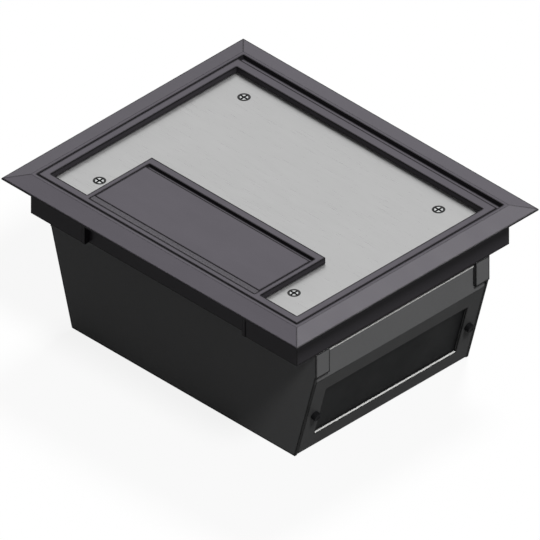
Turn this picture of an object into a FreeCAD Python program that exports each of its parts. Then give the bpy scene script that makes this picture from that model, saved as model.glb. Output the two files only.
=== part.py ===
import FreeCAD, Part
import math
import os
from FreeCAD import Vector

# Floor socket box for a raised floor, in millimetres.
# Origin: centre of the underside of the box. X runs along the box, Y across it, +Z up.
# The cable flap is at the -Y side, and the lid is hinged at the +Y side.

# Overall size
TRIM_LENGTH = 331.0
TRIM_WIDTH = 271.0
OVERALL_HEIGHT = 148.0

# Trim moulding
BEVEL_INSET = 16.5
BEVEL_RISE = 4.0
FLANGE_EDGE = 1.2
RIM_WIDTH = 3.3
SKIRT_WALL = 3.0
SKIRT_DEPTH = 32.6
LEDGE_DROP = 3.8
LEDGE_THICKNESS = 3.0
LEDGE_REACH = 5.3
SHELF_DROP = 21.0
SHELF_THICKNESS = 3.0
RECESS_LENGTH = 176.4
RECESS_DEPTH = 4.0
RECESS_RIB_WIDTH = 3.2
RECESS_RIB_PROUD = 0.5
SEAL_WIDTH = 3.2
SEAL_THICKNESS = 0.8

# Lid
LID_SIDE_GAP = 0.7
LID_REAR_GAP = 6.5
LID_EDGE_THICKNESS = 2.8
LID_DEPTH = 16.0
LID_RIM_SIDE = 7.0
LID_RIM_FRONT = 7.3
LID_RIM_REAR = 8.8
LID_LEDGE_CLEARANCE = 0.5
LID_WALL = 2.4
LID_WEB = 2.2
LID_RIB = 2.0
LID_RIB_PITCH = 46.0
LID_RIB_DEPTH = 2.0
PLATE_DROP = 4.85
PLATE_THICKNESS = 2.0
PLATE_FIT = 0.2
LID_SCREW_OFFSET = 11.8
LID_SCREW_INSET_REAR = 20.5
LID_SCREW_INSET_FRONT = 25.6
LID_SCREW_HEAD_RADIUS = 4.5
LID_SCREW_SHANK_RADIUS = 1.8
LID_SCREW_NECK_RADIUS = 2.6
LID_SCREW_CONE_DEPTH = 1.9
LID_SCREW_LENGTH = 6.0
LID_BOSS_RADIUS = 4.5

# Lid hinge
HINGE_DROP = 5.4
HINGE_SETBACK = 0.2
HINGE_PIN_RADIUS = 1.5
HINGE_EAR_RADIUS = 2.4
HINGE_PIN_GRIP = 7.0
HINGE_SOCKET_DEPTH = 2.2
TONGUE_DROP = 3.0
TONGUE_THICKNESS = 2.0
TONGUE_GAP = 0.5
RUNNING_CLEARANCE = 0.05

# Cable flap and its surround in the lid
FLAP_OPENING_LENGTH = 185.0
FLAP_OPENING_WIDTH = 67.15
FLAP_FRONT_RAIL = 5.25
FLAP_SURROUND_SIDE = 4.7
FLAP_SURROUND_REAR = 7.4
FLAP_SIDE_GAP = 0.4
FLAP_FRONT_GAP = 0.3
FLAP_REAR_GAP = 4.5
FLAP_THICKNESS = 3.0
FLAP_SEAT = 4.5
FLAP_SEAT_CLEARANCE = 0.2
FLAP_LIP_WIDTH = 5.2
FLAP_RIB = 1.8
FLAP_RIB_DEPTH = 3.0
FLAP_HINGE_DROP = 3.6
FLAP_HINGE_SETBACK = 0.3
FLAP_PIN_RADIUS = 1.0
FLAP_EAR_RADIUS = 1.6
FLAP_EAR_LENGTH = 10.0
FLAP_PIN_GRIP = 6.0
FLAP_PIN_SOCKET = 3.0
FLAP_TONGUE_DROP = 2.0
FLAP_TONGUE_THICKNESS = 1.6
FLAP_TONGUE_GAP = 0.6
FLAP_TROUGH_DEPTH = 9.0
FLAP_TROUGH_WIDTH = 8.5

# Sheet metal box
SHEET = 2.5
BOX_SIDE_ROOM = 18.8
END_SLOPE_MARGIN = 7.07
END_TILT = 15.0
END_SETBACK = 0.1
END_TOP_GAP = 4.2
TAB_WIDTH = 15.4
TAB_BEND_GAP = 6.56
TAB_TOP_GAP = 0.2
WALL_TOP_SETBACK = 0.5
BOX_FLANGE_REACH = 11.8
BOX_FLANGE_END_GAP = 14.0
BEND_RADIUS = 2.6

# Screws that hold the box under the trim's shelf
BOX_SCREW_PITCH = 60.0
BOX_SCREW_OFFSET = 6.3
BOX_SCREW_RADIUS = 2.0
BOX_SCREW_HEAD_RADIUS = 4.0
BOX_SCREW_HEAD_HEIGHT = 2.6
BOX_SCREW_CLEARANCE = 0.2
BOX_NUT_FLATS = 7.0
BOX_NUT_THICKNESS = 3.2
BOX_SCREW_TIP = 1.0

# Openings in the box
APERTURE_END_MARGIN = 13.5
APERTURE_SIDE_MARGIN = 12.4
ENTRY_RADIUS = 10.25
ENTRY_X = 60.0
ENTRY_Z = 14.5
BASE_HOLE_RADIUS = 2.75
BASE_HOLE_INSET_X = 24.9
BASE_HOLE_INSET_Y = 22.2
KNOCKOUT_RADIUS = 12.75
KNOCKOUT_GROOVE = 0.8

# Accessory plates
ACCESSORY_END_GAP = 2.2
ACCESSORY_WIDTH = 76.0
ACCESSORY_SHEET = 1.5
ACCESSORY_SCREW_INSET = 6.5
PLATE_SCREW_RADIUS = 1.75
PLATE_SCREW_HEAD_RADIUS = 3.3
PLATE_SCREW_HEAD_HEIGHT = 2.0
PLATE_SCREW_LENGTH = 9.0
PLATE_NUT_RADIUS = 3.0
PLATE_NUT_HEIGHT = 4.0
END_BUSH_RADIUS = 3.8
END_BUSH_HEIGHT = 4.2
END_BUSH_SHANK_RADIUS = 2.8
CROSS_ARM_WIDTH = 0.9
CROSS_DEPTH = 1.2
CROSS_REACH_SHARE = 0.6
LID_CROSS_ARM_WIDTH = 1.3
LID_CROSS_DEPTH = 0.9
LID_CROSS_REACH_SHARE = 0.76
INNER_BEND_SHARE = 0.8

# Rails and dividers
RAIL_TOP_Z = 50.0
RAIL_SHEET = 1.5
RAIL_LEG = 12.0
RAIL_HEIGHT = 14.0
RAIL_END_GAP = 6.9
DIVIDER_SHEET = 1.2
DIVIDER_GAP = 0.2
DIVIDER_TOP_Z = 72.0
DIVIDER_SIDE_GAP = 0.5
DIVIDER_FOOT = 12.0
DIVIDER_NOTCH_GAP = 0.6
RIVET_RADIUS = 1.6
RIVET_HEAD_RADIUS = 3.0
RIVET_HEAD_HEIGHT = 1.2
RIVET_INSET = 34.7

# Twin switched socket outlet
SOCKET_PLATE_THICKNESS = 3.0
SOCKET_EDGE_RADIUS = 0.8
SOCKET_INSET = 26.0
PIN_PITCH = 22.2
EARTH_SLOT_WIDTH = 4.6
EARTH_SLOT_HEIGHT = 8.8
LIVE_SLOT_LENGTH = 7.2
LIVE_SLOT_WIDTH = 4.6
LIVE_SLOT_V = -7.2
HOUSING_END_GAP = 2.7
HOUSING_SIDE_MARGIN = 6.0
HOUSING_DEPTH = 28.0
HOUSING_WALL = 2.0
ROCKER_OFFSET = 11.0
ROCKER_WIDTH = 10.0
ROCKER_LENGTH = 21.0
ROCKER_GAP = 0.5
ROCKER_TILT = 6.0
ROCKER_PROUD = 1.2
ROCKER_DEPTH = 7.0
ROCKER_PIVOT_DROP = 2.2
ROCKER_PIVOT_RADIUS = 1.2
ROCKER_EAR = 2.0
ROCKER_EAR_RADIUS = 2.6
SHUTTER_THICKNESS = 1.6
SHUTTER_GAP = 0.4
SHUTTER_TRAVEL = 5.6
SHUTTER_LENGTH = 32.0
SHUTTER_BAR = 5.8
SHUTTER_WEB = 5.0
SHUTTER_HEAD_LENGTH = 9.0
SHUTTER_HEAD_WIDTH = 4.4
SPRING_WIRE_RADIUS = 0.25
SPRING_RADIUS = 1.6
SPRING_TURNS = 7
SPRING_CLOSED_LENGTH = 6.0
SPRING_PAD = 1.4
CONTACT_SHEET = 0.8
CONTACT_GRIP_TOP = 20.0
CONTACT_STRIP = 3.6
LIVE_LEVEL = 4.0
NEUTRAL_STRIP_V = -14.0
SWITCH_STRIP_V = -0.5
SWITCH_TIP_V = 5.0
SWITCH_TIP_WIDTH = 3.0
PIN_THICKNESS = 4.0
PIN_EARTH_WIDTH = 8.0
PIN_LIVE_WIDTH = 6.4
TERMINAL_SIDE_GAP = 0.8
TERMINAL_NEUTRAL_Y = 14.0
TERMINAL_BLOCK = 6.4
TERMINAL_BLOCK_HEIGHT = 6.0
TERMINAL_BORE_RADIUS = 1.5
TERMINAL_THREAD_RADIUS = 1.4
TERMINAL_HEAD_RADIUS = 2.4
TERMINAL_HEAD_HEIGHT = 2.0

# Data outlets
OUTLET_END_MARGIN = 24.5
OUTLET_COUNT = 4
OUTLET_BEZEL_LENGTH = 38.0
OUTLET_BEZEL_WIDTH = 25.0
OUTLET_BEZEL_THICKNESS = 1.6
OUTLET_BODY_MARGIN = 1.3
OUTLET_BODY_DEPTH = 18.0
OUTLET_FIT = 0.15
JACK_WIDTH = 11.9
JACK_HEIGHT = 8.0
JACK_DEPTH = 13.0
JACK_LATCH_WIDTH = 6.0
JACK_LATCH_HEIGHT = 2.4

# Earth stud
STUD_END_GAP = 20.9
STUD_Y = -50.0
STUD_RADIUS = 2.5
STUD_HEIGHT = 20.0
STUD_FLANGE_RADIUS = 5.0
STUD_FLANGE_HEIGHT = 1.0
STUD_NUT_FLATS = 8.0
STUD_NUT_THICKNESS = 4.0
STUD_WASHER_RADIUS = 5.0
STUD_WASHER_THICKNESS = 1.0
STUD_NUTS = 2

# Floor clamps
CLAMP_INSET = 34.0
CLAMP_OFFSET = 5.3
CLAMP_SCREW_RADIUS = 2.5
CLAMP_HEAD_RADIUS = 4.5
CLAMP_HEAD_HEIGHT = 3.0
CLAW_LEAST_GRIP = 5.3
CLAMP_CLIP_RADIUS = 4.6
CLAMP_CLIP_THICKNESS = 0.8
CLAMP_CLIP_GAP = 0.3
CLAW_TOP_GAP = 0.4
CLAW_THICKNESS = 4.0
CLAW_HUB_RADIUS = 4.8
CLAW_HUB_HEIGHT = 6.0
CLAW_WIDTH = 8.4
CLAW_REACH = 28.0
CLAW_TRAVEL = 8.0

# Levels and half sizes that follow from the above
RIM_Z = OVERALL_HEIGHT
EDGE_Z = RIM_Z - BEVEL_RISE
FLOOR_Z = EDGE_Z - FLANGE_EDGE
SKIRT_Z = FLOOR_Z - SKIRT_DEPTH
LEDGE_Z = RIM_Z - LEDGE_DROP
LEDGE_UNDER_Z = LEDGE_Z - LEDGE_THICKNESS
SHELF_Z = RIM_Z - SHELF_DROP
SHELF_UNDER_Z = SHELF_Z - SHELF_THICKNESS
SKIRT_X = TRIM_LENGTH / 2 - BEVEL_INSET
SKIRT_Y = TRIM_WIDTH / 2 - BEVEL_INSET
OPENING_X = SKIRT_X - RIM_WIDTH
OPENING_Y = SKIRT_Y - RIM_WIDTH
INNER_X = SKIRT_X - SKIRT_WALL
INNER_Y = SKIRT_Y - SKIRT_WALL
LEDGE_X = OPENING_X - LEDGE_REACH
LEDGE_Y = OPENING_Y - LEDGE_REACH

LID_X = OPENING_X - LID_SIDE_GAP
LID_FRONT_Y = -(OPENING_Y - LID_SIDE_GAP)
LID_REAR_Y = OPENING_Y - LID_REAR_GAP
LID_EDGE_Z = RIM_Z - LID_EDGE_THICKNESS
LID_UNDER_Z = RIM_Z - LID_DEPTH
LID_BODY_X = LEDGE_X - LID_LEDGE_CLEARANCE
LID_BODY_FRONT_Y = -(LEDGE_Y - LID_LEDGE_CLEARANCE)
PLATE_Z = RIM_Z - PLATE_DROP
PLATE_UNDER_Z = PLATE_Z - PLATE_THICKNESS
WEB_UNDER_Z = PLATE_UNDER_Z - LID_WEB
RIB_UNDER_Z = WEB_UNDER_Z - LID_RIB_DEPTH
POCKET_X = LID_X - LID_RIM_SIDE
POCKET_FRONT_Y = LID_FRONT_Y + LID_RIM_FRONT
POCKET_REAR_Y = LID_REAR_Y - LID_RIM_REAR
HINGE_Y = LID_REAR_Y + HINGE_SETBACK
HINGE_Z = RIM_Z - HINGE_DROP
HINGE_EAR_END_X = INNER_X - LID_SIDE_GAP
EAR_ROOM_Y = HINGE_Y - HINGE_EAR_RADIUS - LID_LEDGE_CLEARANCE
TONGUE_Z = RIM_Z - TONGUE_DROP
TONGUE_REAR_Y = OPENING_Y - TONGUE_GAP

LID_SCREW_REAR_Y = POCKET_REAR_Y - LID_SCREW_INSET_REAR
LID_SCREW_FRONT_Y = POCKET_FRONT_Y + LID_SCREW_INSET_FRONT

FLAP_OPENING_X = FLAP_OPENING_LENGTH / 2
FLAP_OPENING_FRONT_Y = LID_FRONT_Y + FLAP_FRONT_RAIL
FLAP_OPENING_REAR_Y = FLAP_OPENING_FRONT_Y + FLAP_OPENING_WIDTH
SURROUND_X = FLAP_OPENING_X + FLAP_SURROUND_SIDE
LID_SCREW_X = SURROUND_X + LID_SCREW_OFFSET
SURROUND_REAR_Y = FLAP_OPENING_REAR_Y + FLAP_SURROUND_REAR
FLAP_X = FLAP_OPENING_X - FLAP_SIDE_GAP
FLAP_FRONT_Y = FLAP_OPENING_FRONT_Y + FLAP_FRONT_GAP
FLAP_REAR_Y = FLAP_OPENING_REAR_Y - FLAP_REAR_GAP
FLAP_UNDER_Z = RIM_Z - FLAP_THICKNESS
FLAP_SEAT_Z = FLAP_UNDER_Z - FLAP_SEAT_CLEARANCE
FLAP_HINGE_Y = FLAP_REAR_Y + FLAP_HINGE_SETBACK
FLAP_HINGE_Z = RIM_Z - FLAP_HINGE_DROP
FLAP_TONGUE_Z = RIM_Z - FLAP_TONGUE_DROP
FLAP_TONGUE_REAR_Y = FLAP_OPENING_REAR_Y - FLAP_TONGUE_GAP
TROUGH_Z = RIM_Z - FLAP_TROUGH_DEPTH
TROUGH_FRONT_Y = FLAP_OPENING_REAR_Y - FLAP_TROUGH_WIDTH

BOX_Y = INNER_Y - BOX_SIDE_ROOM
BOX_INNER_Y = BOX_Y - SHEET
TILT = math.radians(END_TILT)
END_FACE_X = SKIRT_X - END_SETBACK - SHEET
SLOPE_LENGTH = ACCESSORY_WIDTH + END_SLOPE_MARGIN
BEND_Z = SLOPE_LENGTH * math.cos(TILT)
BASE_X = END_FACE_X - SLOPE_LENGTH * math.sin(TILT)
TAB_BOTTOM_Z = BEND_Z + TAB_BEND_GAP
PAN_TOP_Z = SKIRT_Z - END_TOP_GAP
TAB_TOP_Z = SKIRT_Z - TAB_TOP_GAP
WALL_TOP_X = INNER_X - WALL_TOP_SETBACK
SHELF_SCREW_Y = BOX_Y + BOX_SCREW_OFFSET
CLAMP_X = INNER_X - CLAMP_INSET
CLAMP_Y = BOX_Y + CLAMP_OFFSET
BOX_FLANGE_X = CLAMP_X - BOX_FLANGE_END_GAP
BASE_HOLE_X = BASE_X - BASE_HOLE_INSET_X
BASE_HOLE_Y = BOX_Y - BASE_HOLE_INSET_Y
RIVET_Y = BOX_INNER_Y - RIVET_INSET
RAIL_X = BASE_X - RAIL_END_GAP
STUD_X = BASE_X - STUD_END_GAP

ACCESSORY_Y = BOX_INNER_Y - ACCESSORY_END_GAP
APERTURE_Y = ACCESSORY_Y - APERTURE_END_MARGIN
APERTURE_HEIGHT = ACCESSORY_WIDTH - 2 * APERTURE_SIDE_MARGIN
HOUSING_WIDTH = ACCESSORY_WIDTH - 2 * HOUSING_SIDE_MARGIN
TERMINAL_V = HOUSING_WIDTH / 2 - HOUSING_WALL - TERMINAL_BLOCK / 2 - TERMINAL_SIDE_GAP
ACCESSORY_PITCH = ACCESSORY_WIDTH + DIVIDER_SHEET + 2 * DIVIDER_GAP
SOCKET_X = -ACCESSORY_PITCH
DATA_X = 0.0
BLANK_X = ACCESSORY_PITCH
PLATE_SCREW_Y = ACCESSORY_Y - ACCESSORY_SCREW_INSET
HOUSING_Y = BOX_INNER_Y - RAIL_LEG - HOUSING_END_GAP
SOCKET_OFFSET = HOUSING_Y - SOCKET_INSET
OUTLET_PITCH = 2 * (ACCESSORY_Y - OUTLET_END_MARGIN) / OUTLET_COUNT
SOCKET_TOP_Z = RAIL_TOP_Z + SOCKET_PLATE_THICKNESS
DATA_TOP_Z = RAIL_TOP_Z + ACCESSORY_SHEET
EARTH_SLOT_V = LIVE_SLOT_V + PIN_PITCH
ROCKER_PIVOT_Z = SOCKET_TOP_Z - ROCKER_PIVOT_DROP
SHUTTER_TOP_Z = RAIL_TOP_Z - SHUTTER_GAP
HOUSING_Z = RAIL_TOP_Z - HOUSING_DEPTH
CONTACT_Z = HOUSING_Z + HOUSING_WALL
LIVE_Z = CONTACT_Z + LIVE_LEVEL
GRIP_TOP_Z = HOUSING_Z + CONTACT_GRIP_TOP
SPRING_LENGTH = SHUTTER_TRAVEL + SPRING_CLOSED_LENGTH
SPRING_Z = SHUTTER_TOP_Z - SPRING_RADIUS - SPRING_WIRE_RADIUS - SHUTTER_GAP

CUT = 1.0
SIDES = (-1, 1)


# Shape helpers

def block(x0, x1, y0, y1, z0, z1):
    """A box from its low and high corner values."""
    return Part.makeBox(x1 - x0, y1 - y0, z1 - z0, Vector(x0, y0, z0))


def slab(half_x, half_y, z0, z1):
    """A box centred on the Z axis."""
    return block(-half_x, half_x, -half_y, half_y, z0, z1)


def rod_x(radius, x0, x1, y, z):
    return Part.makeCylinder(radius, x1 - x0, Vector(x0, y, z), Vector(1, 0, 0))


def rod_y(radius, y0, y1, x, z):
    return Part.makeCylinder(radius, y1 - y0, Vector(x, y0, z), Vector(0, 1, 0))


def rod_z(radius, z0, z1, x, y):
    return Part.makeCylinder(radius, z1 - z0, Vector(x, y, z0))


def prism_y(outline, y0, y1):
    """Extrude a closed outline of (x, z) points from y0 to y1."""
    points = [Vector(x, y0, z) for x, z in outline]
    face = Part.Face(Part.makePolygon(points + points[:1]))
    return face.extrude(Vector(0, y1 - y0, 0))


def hexagon(flats, z0, z1, x, y):
    """A hexagonal prism, measured across its flats."""
    radius = flats / math.sqrt(3)
    turns = [math.radians(60 * step) for step in range(7)]
    corners = [Vector(x + radius * math.cos(turn), y + radius * math.sin(turn), z0) for turn in turns]
    return Part.Face(Part.makePolygon(corners)).extrude(Vector(0, 0, z1 - z0))


def join(shapes):
    first, rest = shapes[0], list(shapes[1:])
    return first.multiFuse(rest).removeSplitter() if rest else first


def less(shape, cutters):
    return shape.cut(list(cutters)).removeSplitter()


def moved(shape, x=0.0, y=0.0, z=0.0):
    copy = shape.copy()
    copy.translate(Vector(x, y, z))
    return copy


def turned(shape, angle, axis, centre=Vector(0, 0, 0)):
    copy = shape.copy()
    copy.rotate(centre, axis, angle)
    return copy


def mirrored_x(shape):
    return shape.mirror(Vector(0, 0, 0), Vector(1, 0, 0))


def mirrored_y(shape):
    return shape.mirror(Vector(0, 0, 0), Vector(0, 1, 0))


def rounded(shape, radius, wanted):
    """Fillet the edges that the test picks."""
    edges = [edge for edge in shape.Edges if wanted(edge)]
    return shape.makeFillet(radius, edges)


def cross_cut(x, y, top_z, arm, width=CROSS_ARM_WIDTH, depth=CROSS_DEPTH):
    """The cross recess of a screw head whose top is at top_z."""
    half = width / 2
    along = block(x - arm, x + arm, y - half, y + half, top_z - depth, top_z + CUT)
    across = block(x - half, x + half, y - arm, y + arm, top_z - depth, top_z + CUT)
    return along.fuse(across)


def pan_head_screw(radius, head_radius, head_height, length, x, y, seat_z):
    """A screw that points down, with its head on seat_z and a cross recess."""
    shank = rod_z(radius, seat_z - length, seat_z, x, y)
    head = rod_z(head_radius, seat_z, seat_z + head_height, x, y)
    head = rounded(head, head_height / 3, lambda edge: edge.BoundBox.ZMin > seat_z + head_height / 2)
    screw = join([shank, head])
    return less(screw, [cross_cut(x, y, seat_z + head_height, head_radius * CROSS_REACH_SHARE)])


def on_end(shape, side):
    """Place a shape drawn with X outward and Z up the slope on one sloped end."""
    tilted = turned(shape, END_TILT, Vector(0, 1, 0))
    tilted.translate(Vector(BASE_X, 0, 0))
    return tilted if side > 0 else turned(tilted, 180, Vector(0, 0, 1))


def save(name, *solids):
    """Write one node: a single solid, or a group of like solids."""
    shape = solids[0] if len(solids) == 1 else Part.makeCompound(list(solids))
    if not shape.isValid():
        raise ValueError(name + " is not a valid shape")
    shape.exportStep(os.path.join("parts", name + ".step"))
    print(f"{name:26s} solids {len(shape.Solids):2d}  volume {shape.Volume / 1000:8.2f} cm3")


# Trim

def bevelled_flange():
    """The flange: a thin edge, and a bevel that rises to the flat rim."""
    edge = slab(TRIM_LENGTH / 2, TRIM_WIDTH / 2, FLOOR_Z, EDGE_Z)
    outlines = []
    for half_x, half_y, z in ((TRIM_LENGTH / 2, TRIM_WIDTH / 2, EDGE_Z), (SKIRT_X, SKIRT_Y, RIM_Z)):
        corners = [Vector(-half_x, -half_y, z), Vector(half_x, -half_y, z),
                   Vector(half_x, half_y, z), Vector(-half_x, half_y, z)]
        outlines.append(Part.makePolygon(corners + corners[:1]))
    bevel = Part.makeLoft(outlines, True, True)
    return join([edge, bevel])


def shelf_screw_places():
    return [(step * BOX_SCREW_PITCH, side * SHELF_SCREW_Y) for side in SIDES for step in (-1, 0, 1)]


def clamp_places():
    return [(x_side * CLAMP_X, y_side * CLAMP_Y) for y_side in SIDES for x_side in SIDES]


def make_trim():
    body = join([bevelled_flange(), slab(SKIRT_X, SKIRT_Y, SKIRT_Z, FLOOR_Z + CUT)])
    recess_x = RECESS_LENGTH / 2
    recess_y = -(SKIRT_Y - RECESS_DEPTH)
    recess_inner_y = recess_y + SKIRT_WALL
    recess = block(-recess_x, recess_x, -SKIRT_Y - CUT, recess_y, SKIRT_Z - CUT, FLOOR_Z)
    opening = slab(OPENING_X, OPENING_Y, LEDGE_Z, RIM_Z + CUT)
    window = block(-LEDGE_X, LEDGE_X, -LEDGE_Y, EAR_ROOM_Y + CUT, LEDGE_UNDER_Z - CUT, LEDGE_Z + CUT)
    ear_room = block(-INNER_X, INNER_X, EAR_ROOM_Y, INNER_Y, LEDGE_UNDER_Z - CUT, LEDGE_Z)
    hollow = slab(INNER_X, INNER_Y, SKIRT_Z - CUT, LEDGE_UNDER_Z)
    body = less(body, [opening, window, ear_room, hollow])
    recess_back = block(-recess_x - SKIRT_WALL, recess_x + SKIRT_WALL, -SKIRT_Y + RECESS_DEPTH / 2,
                        recess_inner_y, SKIRT_Z, LEDGE_UNDER_Z + CUT)
    shelves = [block(-INNER_X - CUT, INNER_X + CUT, BOX_INNER_Y, INNER_Y + CUT, SHELF_UNDER_Z, SHELF_Z)]
    shelves.append(mirrored_y(shelves[0]))
    ribs = []
    for side in SIDES:
        x0, x1 = sorted((side * recess_x, side * (recess_x + RECESS_RIB_WIDTH)))
        ribs.append(block(x0, x1, -SKIRT_Y - RECESS_RIB_PROUD, -SKIRT_Y + CUT, SKIRT_Z, FLOOR_Z + CUT / 2))
    body = join([body, recess_back] + shelves)
    body = join([less(body, [recess])] + ribs)
    holes = [rod_z(BOX_SCREW_RADIUS + BOX_SCREW_CLEARANCE, SHELF_UNDER_Z - CUT, SHELF_Z + CUT, x, y)
             for x, y in shelf_screw_places()]
    holes += [rod_z(CLAMP_SCREW_RADIUS + RUNNING_CLEARANCE, SHELF_UNDER_Z - CUT, SHELF_Z + CUT, x, y)
              for x, y in clamp_places()]
    reach = INNER_X + HINGE_SOCKET_DEPTH
    for x0, x1 in ((-reach, -OPENING_X + CUT), (OPENING_X - CUT, reach)):
        holes.append(rod_x(HINGE_PIN_RADIUS + RUNNING_CLEARANCE, x0, x1, HINGE_Y, HINGE_Z))
    return less(body, holes)


def make_ledge_seal():
    """A soft strip along the ledge on the three sides where the lid rests."""
    mid_x = (OPENING_X + LEDGE_X) / 2
    mid_y = (OPENING_Y + LEDGE_Y) / 2
    half = SEAL_WIDTH / 2
    top_z = LEDGE_Z + SEAL_THICKNESS
    outer = block(-mid_x - half, mid_x + half, -mid_y - half, EAR_ROOM_Y, LEDGE_Z, top_z)
    inner = block(-mid_x + half, mid_x - half, -mid_y + half, EAR_ROOM_Y + CUT, LEDGE_Z - CUT, top_z + CUT)
    return less(outer, [inner])


# Lid

def lid_screw_places():
    return [(side * LID_SCREW_X, y) for side in SIDES for y in (LID_SCREW_FRONT_Y, LID_SCREW_REAR_Y)]


def make_lid_frame():
    edge = block(-LID_X, LID_X, LID_FRONT_Y, LID_REAR_Y, LID_EDGE_Z, RIM_Z)
    tray = block(-LID_BODY_X, LID_BODY_X, LID_BODY_FRONT_Y, LID_REAR_Y, LID_UNDER_Z, RIM_Z)
    tongue = block(-LID_X, LID_X, LID_REAR_Y - LID_WALL, TONGUE_REAR_Y,
                   TONGUE_Z - TONGUE_THICKNESS, TONGUE_Z)
    pocket = block(-POCKET_X, POCKET_X, POCKET_FRONT_Y, POCKET_REAR_Y, PLATE_UNDER_Z, RIM_Z + CUT)
    cavity = block(-LID_BODY_X + LID_WALL, LID_BODY_X - LID_WALL, LID_BODY_FRONT_Y + LID_WALL,
                   LID_REAR_Y - LID_WALL, LID_UNDER_Z - CUT, WEB_UNDER_Z)
    body = less(join([edge, tray, tongue]), [pocket, cavity])

    surround = block(-SURROUND_X, SURROUND_X, LID_BODY_FRONT_Y, SURROUND_REAR_Y, LID_UNDER_Z, RIM_Z)
    ribs = [block(-LID_BODY_X + CUT, LID_BODY_X - CUT, y - LID_RIB / 2, y + LID_RIB / 2,
                  RIB_UNDER_Z, WEB_UNDER_Z + CUT)
            for y in (SURROUND_REAR_Y + LID_RIB_PITCH, SURROUND_REAR_Y + 2 * LID_RIB_PITCH)]
    for x in (-LID_RIB_PITCH, 0, LID_RIB_PITCH):
        ribs.append(block(x - LID_RIB / 2, x + LID_RIB / 2, SURROUND_REAR_Y - CUT, LID_REAR_Y - CUT,
                          RIB_UNDER_Z, WEB_UNDER_Z + CUT))
    bosses = [rod_z(LID_BOSS_RADIUS, RIB_UNDER_Z, WEB_UNDER_Z + CUT, x, y) for x, y in lid_screw_places()]
    ears = []
    for side in SIDES:
        x0, x1 = sorted((side * (LID_BODY_X - CUT), side * HINGE_EAR_END_X))
        ears.append(rod_x(HINGE_EAR_RADIUS, x0, x1, HINGE_Y, HINGE_Z))
    body = join([body, surround] + ribs + bosses + ears)

    seat_x = FLAP_OPENING_X - FLAP_SEAT
    seat_y = FLAP_OPENING_FRONT_Y + FLAP_SEAT
    cuts = [
        block(-FLAP_OPENING_X, FLAP_OPENING_X, FLAP_OPENING_FRONT_Y, FLAP_OPENING_REAR_Y,
              FLAP_SEAT_Z, RIM_Z + CUT),
        block(-FLAP_OPENING_X, FLAP_OPENING_X, TROUGH_FRONT_Y, FLAP_OPENING_REAR_Y, TROUGH_Z, RIM_Z + CUT),
        block(-seat_x, seat_x, seat_y, TROUGH_FRONT_Y, LID_UNDER_Z - CUT, RIM_Z + CUT),
    ]
    pin_end = FLAP_OPENING_X + FLAP_PIN_SOCKET
    cuts.append(rod_x(FLAP_PIN_RADIUS + RUNNING_CLEARANCE, -pin_end, pin_end, FLAP_HINGE_Y, FLAP_HINGE_Z))
    for x0, x1 in ((-HINGE_EAR_END_X - CUT, -HINGE_EAR_END_X + HINGE_PIN_GRIP),
                   (HINGE_EAR_END_X - HINGE_PIN_GRIP, HINGE_EAR_END_X + CUT)):
        cuts.append(rod_x(HINGE_PIN_RADIUS, x0, x1, HINGE_Y, HINGE_Z))
    screw_bottom = PLATE_Z - LID_SCREW_LENGTH
    cuts += [rod_z(LID_SCREW_SHANK_RADIUS, screw_bottom, RIM_Z, x, y) for x, y in lid_screw_places()]
    return less(body, cuts)


def countersink(x, y):
    """The cone under a countersunk head, flush with the lid plate."""
    return Part.makeCone(LID_SCREW_NECK_RADIUS, LID_SCREW_HEAD_RADIUS, LID_SCREW_CONE_DEPTH,
                         Vector(x, y, PLATE_Z - LID_SCREW_CONE_DEPTH))


def make_lid_plate():
    plate = block(-POCKET_X + PLATE_FIT, POCKET_X - PLATE_FIT, POCKET_FRONT_Y + PLATE_FIT,
                  POCKET_REAR_Y - PLATE_FIT, PLATE_UNDER_Z, PLATE_Z)
    cuts = [block(-SURROUND_X - PLATE_FIT, SURROUND_X + PLATE_FIT, POCKET_FRONT_Y - CUT,
                  SURROUND_REAR_Y + PLATE_FIT, PLATE_UNDER_Z - CUT, PLATE_Z + CUT)]
    for x, y in lid_screw_places():
        cuts.append(countersink(x, y))
        cuts.append(rod_z(LID_SCREW_NECK_RADIUS, PLATE_UNDER_Z - CUT, PLATE_Z - CUT, x, y))
    return less(plate, cuts)


def make_lid_screws():
    screws = []
    for x, y in lid_screw_places():
        shank = rod_z(LID_SCREW_SHANK_RADIUS, PLATE_Z - LID_SCREW_LENGTH, PLATE_Z - CUT / 2, x, y)
        screw = join([countersink(x, y), shank])
        recess = cross_cut(x, y, PLATE_Z, LID_SCREW_HEAD_RADIUS * LID_CROSS_REACH_SHARE,
                           LID_CROSS_ARM_WIDTH, LID_CROSS_DEPTH)
        screws.append(less(screw, [recess]))
    return screws


def make_lid_hinge_pins():
    start = HINGE_EAR_END_X - HINGE_PIN_GRIP
    end = INNER_X + HINGE_SOCKET_DEPTH - RUNNING_CLEARANCE * 2
    pin = rod_x(HINGE_PIN_RADIUS, start, end, HINGE_Y, HINGE_Z)
    return [pin, mirrored_x(pin)]


# Cable flap

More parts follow.
